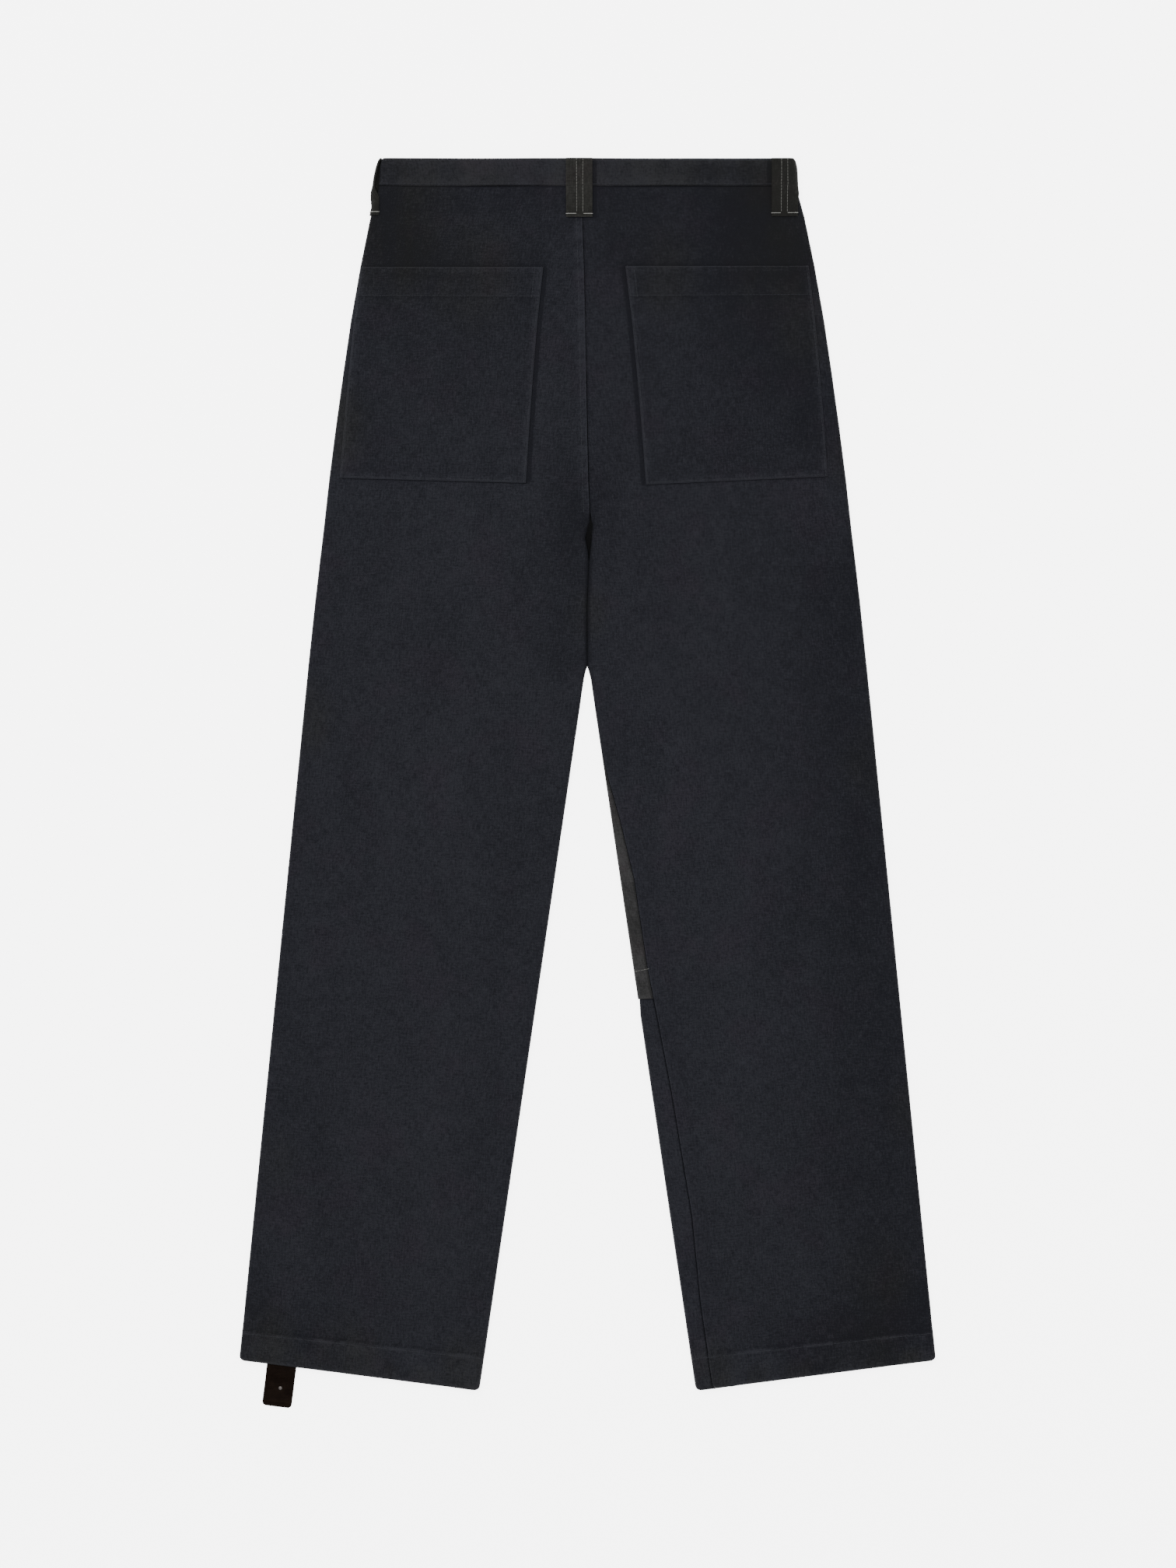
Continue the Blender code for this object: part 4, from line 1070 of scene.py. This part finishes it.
def beltLoop(word):
    loop = loops[word]
    close = np.array([0.0, 0.0003, 0.0007, 0.0012])
    between = np.linspace(loop.first + 0.0020, loop.last - 0.0020, 22)
    acrossAt = np.concatenate([loop.first + close, between, loop.last - close[::-1]])
    onBand, below = np.arange(0.0, cut["bandDepth"], 0.0012), np.arange(0.0258, loop.foot - 0.0014, 0.0012)
    downs = np.concatenate([onBand, below, loop.foot - close[::-1]])[::-1]
    lines = [loopFace(loop, down, acrossAt) for down in downs]
    points = np.array(lines)
    edge = np.minimum(acrossAt - loop.first, loop.last - acrossAt)[None, :] + 0 * points[..., 0]
    fromFoot = loop.foot - downs[:, None]
    wearAndHighlight = max(0.05, 0.6 - 0.5 * loop.darker) * edgeLine(edge, 0.0010) + 0.25 * edgeLine(fromFoot, 0.0010)
    wearAndHighlight = wearAndHighlight + 0.25 * edgeLine(downs[:, None] - 0.0254, 0.0040)
    shadeAndGrime = 0.25 * edgeLine(fromFoot - 0.006, 0.004) + 0 * edge + loop.darker
    values = {"wearAndHighlight": wearAndHighlight, "shadeAndGrime": shadeAndGrime}
    us = np.broadcast_to(acrossAt, edge.shape) + 0.5
    name, facesUp = "beltLoop" + word.title(), loop.last > 0.01
    piece, _ = makeCloth(name, lines, us, downs + 1.3, cut["loopWall"], facesUp, oliveTwill, values)
    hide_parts("belt_loop_" + word)
    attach(piece, "root")
    width = loop.last - loop.first
    loop.foot + 0.003


def flyShield():
    shield = {"top": 0.0300, "foot": 0.1950, "left": 0.0380, "right": 0.0050, "curve": 0.0300}
    downs = [shield["foot"] - share * shield["curve"] for share in (0.0, 0.03, 0.1, 0.2, 0.35, 0.5, 0.7, 0.9)]
    downs += list(np.arange(shield["foot"] - shield["curve"], shield["top"], -0.004)) + [shield["top"]]
    lines, us = [], []
    for down in downs:
        turn = max(down - (shield["foot"] - shield["curve"]), 0.0) / shield["curve"]
        left = shield["left"] - shield["curve"] * (1 - math.sqrt(max(1 - turn * turn, 0.0)))
        x = seatSeamX(down) - left + (left + shield["right"]) * np.linspace(0, 1, 15)
        level = np.full(15, cut["cloth"] + cut["gap"])
        lines.append(np.column_stack([x, np.full(15, cut["topY"] - down), level + floorLift(x, down)]))
        us.append(x)
    values = {"wearAndHighlight": 0.1, "olive": 0.2}
    piece, area = makeCloth("flyShield", lines, us, downs, cut["cloth"], False, navyTwill, values)
    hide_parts("fly_shield")
    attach(piece, "root")


strap = {
    "in": 0.0360, "width": 0.0272, "tuck": 0.0150, "shows": 0.0388, "corner": 0.0038,
    "rivetFromEnd": 0.0174, "rivetAside": 0.0013,
}


def strapFrame():
    # the strap's middle at the hem's edge, its way down and its way across
    row = legRow(-1, cut["outseam"])
    middle = row.outer + row.way * strap["in"]
    return middle, np.array([row.way[1], -row.way[0]]), row.way


def hemStrap():
    middle, downWay, across = strapFrame()
    half = strap["width"] / 2
    level = cut["hemWall"] + cut["gap"] + cut["strapWall"]
    bendEnd = strap["shows"] * 0.45
    straight = strap["shows"] - strap["corner"]
    rounded = strap["shows"] - strap["corner"] * (1 - np.sin(np.linspace(0.15, 1, 9) * math.pi / 2))
    runs = np.concatenate([np.linspace(-strap["tuck"], 0.0, 8), np.linspace(0.002, straight, 22), rounded])
    close = np.array([0.93, 0.965, 0.985, 1.0])
    shares = np.concatenate([-close[::-1], np.linspace(-0.85, 0.85, 16), close])
    lines, us = [], []
    for run in runs[::-1]:
        past = max(run - straight, 0.0) / strap["corner"]
        wide = half - strap["corner"] * (1 - math.sqrt(max(1 - past * past, 0.0)))
        side = shares * wide
        height = level + (cut["strapWall"] + 0.00035 - level) * float(ease((run - 0.002) / (bendEnd - 0.002)))
        edge = np.minimum(wide - np.abs(side), max(strap["shows"] - run, 0.0))
        pressed = -0.00035 * (1 - ease(edge / 0.0012)) - 0.00018 * edgeLine(edge - 0.0030, 0.0006)
        wave = 0.00035 * math.sin((run - 0.004) * 260) * float(ease(run / 0.01))
        wave = wave * float(ease((strap["shows"] - run) / 0.008))
        flat = middle[None, :] + downWay[None, :] * run + across[None, :] * side[:, None]
        lines.append(np.column_stack([flat, height + pressed + max(wave, 0.0)]))
        us.append(side)
    fromEnd = strap["shows"] - (runs[::-1][:, None] + 0 * np.array(us))
    wearAndHighlight = 0.8 * edgeLine(fromEnd, 0.0012) + 0.3 * edgeLine(fromEnd - 0.006, 0.0015)
    values = {"wearAndHighlight": wearAndHighlight}
    piece, _ = makeCloth("hemStrap", lines, us, runs[::-1], cut["strapWall"], True, strapLeather, values)
    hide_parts("hem_strap")
    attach(piece, "root")


def turned(name, profile, centre, sides, material):
    # a turned piece from radius and height pairs
    angles = np.linspace(0, 2 * math.pi, sides, endpoint=False)
    points = [
        (centre[0] + r * math.cos(a), centre[1] + r * math.sin(a), centre[2] + z)
        for r, z in profile for a in angles
    ]
    faces = []
    for ring in range(len(profile) - 1):
        for i in range(sides):
            j = (i + 1) % sides
            faces.append((ring * sides + i, ring * sides + j, (ring + 1) * sides + j, (ring + 1) * sides + i))
    faces.append(tuple(range(sides))[::-1])
    faces.append(tuple(range((len(profile) - 1) * sides, len(profile) * sides)))
    mesh = bpy.data.meshes.new(name)
    mesh.from_pydata(points, [], faces)
    mesh.materials.append(material)
    mesh.shade_smooth()
    mesh.set_sharp_from_angle(angle=math.radians(40))
    piece = inScene(name, mesh)
    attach(piece, "root")
    return piece


def waistButton():
    button = {"x": -0.0230, "down": 0.0127, "radius": 0.0085, "head": 0.0015, "shank": 0.0016}
    radius, head, shank = button["radius"], button["head"], button["shank"]
    top = head + cut["gap"] + cut["bandWall"]
    profile = [
        (radius * 0.55, 0.00012), (radius * 0.6, 0.0), (radius * 0.86, 0.0), (radius * 0.95, 0.0001),
        (radius, 0.0005), (radius, head - 0.0004), (radius * 0.96, head), (shank + 0.0004, head),
        (shank, head + 0.0004), (shank, top - 0.0002), (shank * 0.85, top),
    ]
    centre = (button["x"], cut["topY"] - button["down"], 0.0)
    piece = turned("waistButton", profile, centre, 40, buttonMetal)
    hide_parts("waist_button")


def strapRivet():
    rivet = {"radius": 0.0017, "height": 0.0007, "edge": 0.00015}
    middle, downWay, across = strapFrame()
    place = middle + downWay * (strap["shows"] - strap["rivetFromEnd"]) + across * strap["rivetAside"]
    dome = [(rivet["radius"], 0.0)]
    for turn in np.linspace(0.1, 1.45, 7):
        rise = (rivet["height"] - rivet["edge"]) * math.sin(turn)
        dome.append((rivet["radius"] * math.cos(turn), rivet["edge"] + rise))
    piece = turned("strapRivet", dome, (place[0], place[1], cut["strapWall"] + cut["gap"]), 28, buttonMetal)
    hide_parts("strap_rivet")


# Stitches
def stitchTree(material):
    # stands a stitch at even steps along every seam line, and makes them one mesh
    tree = bpy.data.node_groups.new("stitches along seams", "GeometryNodeTree")
    face = tree.interface
    face.new_socket("Geometry", in_out="INPUT", socket_type="NodeSocketGeometry")
    for label, default in (("Pitch", 0.0033), ("Stitch Length", 0.0026), ("Thread Radius", 0.00024)):
        face.new_socket(label, in_out="INPUT", socket_type="NodeSocketFloat").default_value = default
    face.new_socket("Seed", in_out="INPUT", socket_type="NodeSocketInt").default_value = 7
    face.new_socket("Geometry", in_out="OUTPUT", socket_type="NodeSocketGeometry")

    def put(kind, links=None, **settings):
        node = tree.nodes.new(kind)
        for key, value in settings.items():
            setattr(node, key, value)
        for key, value in (links or {}).items():
            if hasattr(value, "is_output"):
                tree.links.new(value, node.inputs[key])
            else:
                node.inputs[key].default_value = value
        return node

    start = put("NodeGroupInput")
    seams = put("GeometryNodeMeshToCurve", {0: start.outputs["Geometry"]})
    spacing = {"Curve": seams.outputs[0], "Length": start.outputs["Pitch"]}
    even = put("GeometryNodeResampleCurve", spacing, mode="LENGTH")
    halfLength = put("ShaderNodeMath", {0: start.outputs["Stitch Length"], 1: 0.5}, operation="MULTIPLY")
    back = put("ShaderNodeMath", {0: halfLength.outputs[0], 1: -1.0}, operation="MULTIPLY")
    sink = put("ShaderNodeMath", {0: start.outputs["Thread Radius"], 1: -0.9}, operation="MULTIPLY")
    rise = put("ShaderNodeMath", {0: start.outputs["Thread Radius"], 1: 0.7}, operation="MULTIPLY")
    first = put("ShaderNodeCombineXYZ", {0: back.outputs[0], 2: sink.outputs[0]})
    crest = put("ShaderNodeCombineXYZ", {2: rise.outputs[0]})
    last = put("ShaderNodeCombineXYZ", {0: halfLength.outputs[0], 2: sink.outputs[0]})
    ends = {"Start": first.outputs[0], "Middle": crest.outputs[0], "End": last.outputs[0]}
    arch = put("GeometryNodeCurveQuadraticBezier", {"Resolution": 4, **ends})
    ring = put("GeometryNodeCurvePrimitiveCircle", {"Resolution": 6, "Radius": start.outputs["Thread Radius"]})
    tube = {"Curve": arch.outputs[0], "Profile Curve": ring.outputs[0], "Fill Caps": True}
    stitch = put("GeometryNodeCurveToMesh", tube)
    tangent = put("GeometryNodeInputTangent")
    way = {"Vector": tangent.outputs[0]}
    turn = put("FunctionNodeAlignRotationToVector", way, axis="X", pivot_axis="AUTO")
    size = put("FunctionNodeRandomValue", {"Seed": start.outputs["Seed"]}, data_type="FLOAT")
    size.inputs[2].default_value = 0.86
    size.inputs[3].default_value = 1.06
    stand = put("GeometryNodeInstanceOnPoints", {
        "Points": even.outputs[0], "Instance": stitch.outputs[0],
        "Rotation": turn.outputs[0], "Scale": size.outputs[1],
    })
    real = put("GeometryNodeRealizeInstances", {0: stand.outputs[0]})
    smooth = put("GeometryNodeSetShadeSmooth", {0: real.outputs[0]})
    dressed = put("GeometryNodeSetMaterial", {0: smooth.outputs[0], "Material": material})
    end = put("NodeGroupOutput")
    tree.links.new(dressed.outputs[0], end.inputs[0])
    return tree


def sewThread(name, seams, material, sizes):
    # one mesh of stitches along these lines of points
    points = [point for seam in seams for point in seam]
    edges, at = [], 0
    for seam in seams:
        edges += [(at + i, at + i + 1) for i in range(len(seam) - 1)]
        at += len(seam)
    mesh = bpy.data.meshes.new(name + "Seams")
    mesh.from_pydata([tuple(p) for p in points], edges, [])
    guide = inScene(name + "Seams", mesh)
    stitcher = guide.modifiers.new("stitches", "NODES")
    stitcher.node_group = stitchTree(material)
    face = stitcher.node_group.interface
    sockets = {item.name: item.identifier for item in face.items_tree if item.in_out == "INPUT"}
    for label, value in sizes.items():
        stitcher[sockets[label]] = value
    graph = bpy.context.evaluated_depsgraph_get()
    sewn = bpy.data.meshes.new_from_object(guide.evaluated_get(graph))
    bpy.data.objects.remove(guide)
    piece = inScene(name, sewn)
    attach(piece, "root")
    print(name, len(seams), "seams,", len(sewn.polygons), "faces")


def raised(points, by):
    points = np.array(points, float)
    points[:, 2] += by
    return points


def backSeam(side, down, distances, by=0.00012):
    # points on the back of a leg at these distances in from the side fold
    row = legRow(side, down)
    points = []
    for distance in distances:
        if distance < row.width / 2 or row.curl < 1:
            reach = distance + row.radius * (math.pi / 2 - 1)
            points.append(fromSide(row, np.array([reach]))[0])
        else:
            reach = row.width - distance + row.radius * (math.pi / 2 - 1)
            points.append(fromInner(row, np.array([reach]), True)[0])
    return raised(points, by)


def pocketSeams(pocket):
    width = pocket.innerTop - pocket.outerTop
    depth = pocket.foot - pocket.top
    inAcross = pocketMake["stitchIn"] / width
    inAlong = pocketMake["stitchIn"] / depth
    hemAlong = pocketMake["hem"] / depth
    alongs = np.linspace(0.004, 1 - inAlong, 50)
    acrosses = np.linspace(inAcross, 1 - inAcross, 46)

    def upright(across, shares):
        return [pocketFace(pocket, [across], along)[0] for along in shares]

    rows = [
        upright(1 - inAcross, alongs),
        upright(inAcross, alongs),
        list(pocketFace(pocket, acrosses, 1 - inAlong)),
        list(pocketFace(pocket, acrosses, hemAlong)),
        upright(1 - pocketMake["cornerStitchIn"] / width, np.linspace(0.006, hemAlong, 8)),
    ]
    return [raised(row, 0.00012) for row in rows]


def hemSeam(side):
    row = legRow(side, hem["stitch"])
    distances = np.linspace(0.004, row.width - 0.004, 60)
    if side > 0:
        distances = np.linspace(0.004, row.width - row.roll - 0.003, 56)
    return backSeam(side, hem["stitch"], distances)


def frontSeam(side, down, slope=0.0):
    # points right across a front panel, on its outside, and on round the rolled edge
    row = legRow(side, down)
    line, _ = lineAcross(row, *frontReaches(row), 0.0, False, 40)
    shown = line[:, 2] > 0.0028
    line[:, 2] += np.where(shown, 0.00016, -0.00010)
    line[:, 1] += slope * (line[:, 0] - line[:, 0].min()) * shown
    return line


def flySeam():
    # the curved row that holds the fly facing, on the left front
    fly = {"in": 0.0340, "straight": 0.1450, "foot": 0.1860}
    places = [(fly["in"], down) for down in np.arange(0.0290, fly["straight"], 0.004)]
    for turn in np.linspace(0.08, 1.0, 12) * math.pi / 2:
        away = fly["in"] * math.cos(turn) + 0.002
        places.append((away, fly["straight"] + (fly["foot"] - fly["straight"]) * math.sin(turn)))
    x = np.array([seatSeamX(down) - away for away, down in places])
    down = np.array([place[1] for place in places])
    return np.column_stack([x, cut["topY"] - down, floorLift(x, down) - 0.00010])


def tonalSeams():
    seat = []
    for down in np.arange(0.0560, 0.3250, 0.004):
        away = legRow(-1, down).width - seatSeam["stitchIn"]
        seat.append(backSeam(-1, down, [away])[0])
    seams = [np.array(seat), hemSeam(-1), hemSeam(1)]
    seams += [frontSeam(-1, hem["stitch"]), frontSeam(1, hem["stitch"]), flySeam()]
    for pocket in pockets.values():
        seams += pocketSeams(pocket)
    for down in (band["stitchIn"], cut["bandDepth"] - band["stitchIn"]):
        x, z = bandLine(down)
        seams.append(raised(bandPoints(x, z, down), 0.00010)[38:150])
    return seams


def paleSeams():
    seams, bars = [], []
    for loop in loops.values():
        downs = np.arange(0.0015, loop.foot - 0.0045, 0.0016)
        for rowAt in loop.rows:
            seams.append(np.array([loopFace(loop, down, np.array([rowAt]), 0.00022)[0] for down in downs]))
        barDown = loop.foot - 0.0030
        inner = loop.rows[0] - 0.0012, loop.rows[1] + 0.0012
        for first, last in ((loop.first + 0.0006, inner[0]), (inner[1], loop.last - 0.0006)):
            if last - first > 0.002:
                bars.append(loopFace(loop, barDown, np.linspace(first, last, 8), 0.00035))
    seams += [frontSeam(1, knee["foot"] - knee["stitchUp"], 0.15), frontSeam(1, knee["top"] + 0.0030)]
    return seams, bars


# Materials, pieces and thread
navyTwill = twill("navy twill", navyLook)
# painted shade: the near-black twill of the seat seam's allowance
innerShadeTwill = twill("navy twill inside", innerShadeLook)
oliveTwill = twill("charcoal olive twill", oliveLook)
kneeTwill = twill("knee twill", kneeLook)
strapLeather = leather("black brown leather")
buttonMetal = dullMetal("dull metal")
navyThread = thread("navy thread", (0.0080, 0.0083, 0.0108), (0.0240, 0.0250, 0.0300))
paleThread = thread("pale thread", (0.050, 0.050, 0.047), (0.135, 0.135, 0.126))
barThread = thread("bar thread", (0.110, 0.110, 0.104), (0.260, 0.262, 0.246))
print("materials made")

for word, side in (("left", -1), ("right", 1)):
    frontPanel(word, side)
    backPanel(word, side)
    patchPocket(word)
print("panels and pockets made")
kneePanel()
waistband()
flyShield()
seatAllowance()
for word in loops:
    beltLoop(word)
print("band, loops, knee panel and shield made")
hemStrap()
waistButton()
strapRivet()
print("strap and metal made")
navyStitch = {"Pitch": 0.0032, "Stitch Length": 0.0027, "Thread Radius": 0.00021}
paleStitch = {"Pitch": 0.0027, "Stitch Length": 0.0022, "Thread Radius": 0.00022}
barStitch = {"Pitch": 0.0007, "Stitch Length": 0.0015, "Thread Radius": 0.00030}
sewThread("navyThread", tonalSeams(), navyThread, navyStitch)
rows, bars = paleSeams()
sewThread("paleThread", rows, paleThread, paleStitch)
sewThread("paleBars", bars, barThread, barStitch)


# Floor, light and camera
def setStage():
    pixel = 0.000715
    imageHeight = 2016
    camera = {"lens": 85.0, "sensor": 36.0, "x": 0.0004, "y": -0.0011, "focusHeight": 0.005}
    mesh = bpy.data.meshes.new("floor")
    reach = 40.0
    aside = 12.0
    corners = ((-1, -1), (1, -1), (1, 1), (-1, 1))
    mesh.from_pydata([(x * reach + aside, y * reach, -0.0006) for x, y in corners], [], [(0, 1, 2, 3)])
    floor = inScene("floor", mesh)
    paper = Finish("pale paper")
    speck = paper.noise(paper.place(), 3.0, 2.0, 0.55)
    paper.end(**{
        "Base Color": paper.mix(speck, (0.90, 0.90, 0.90), (0.915, 0.915, 0.912)),
        "Roughness": 0.9,
        "Specular IOR Level": 0.1,
        "Emission Color": (1.0, 1.0, 1.0),
        "Emission Strength": 4.5,
    })
    paper.clearFromBehind()
    mesh.materials.append(paper.material)

    for name, size, energy, place, aim in (
        ("overhead", 4.0, 240.0, (0.3, 0.5, 4.6), (0.0, 0.0, 0.0)),
        ("upper left", 1.6, 110.0, (-1.7, 1.9, 3.4), (0.0, 0.1, 0.0)),
    ):
        lamp = bpy.data.lights.new(name, "AREA")
        lamp.size = size
        lamp.energy = energy
        holder = inScene(name, lamp)
        holder.location = place
        way = Vector(aim) - Vector(place)
        holder.rotation_euler = way.to_track_quat("-Z", "Y").to_euler()

    world = bpy.data.worlds.new("studio")
    world.use_nodes = True
    sky = world.node_tree.nodes["Background"]
    sky.inputs["Color"].default_value = (1.0, 1.0, 1.0, 1.0)
    sky.inputs["Strength"].default_value = 0.85
    bpy.context.scene.world = world

    eye = bpy.data.cameras.new("camera")
    eye.lens = camera["lens"]
    eye.sensor_width = camera["sensor"]
    holder = inScene("camera", eye)
    away = imageHeight * pixel * camera["lens"] / camera["sensor"]
    holder.location = (camera["x"], camera["y"], away + camera["focusHeight"])
    bpy.context.scene.camera = holder


setStage()
print("stage set")
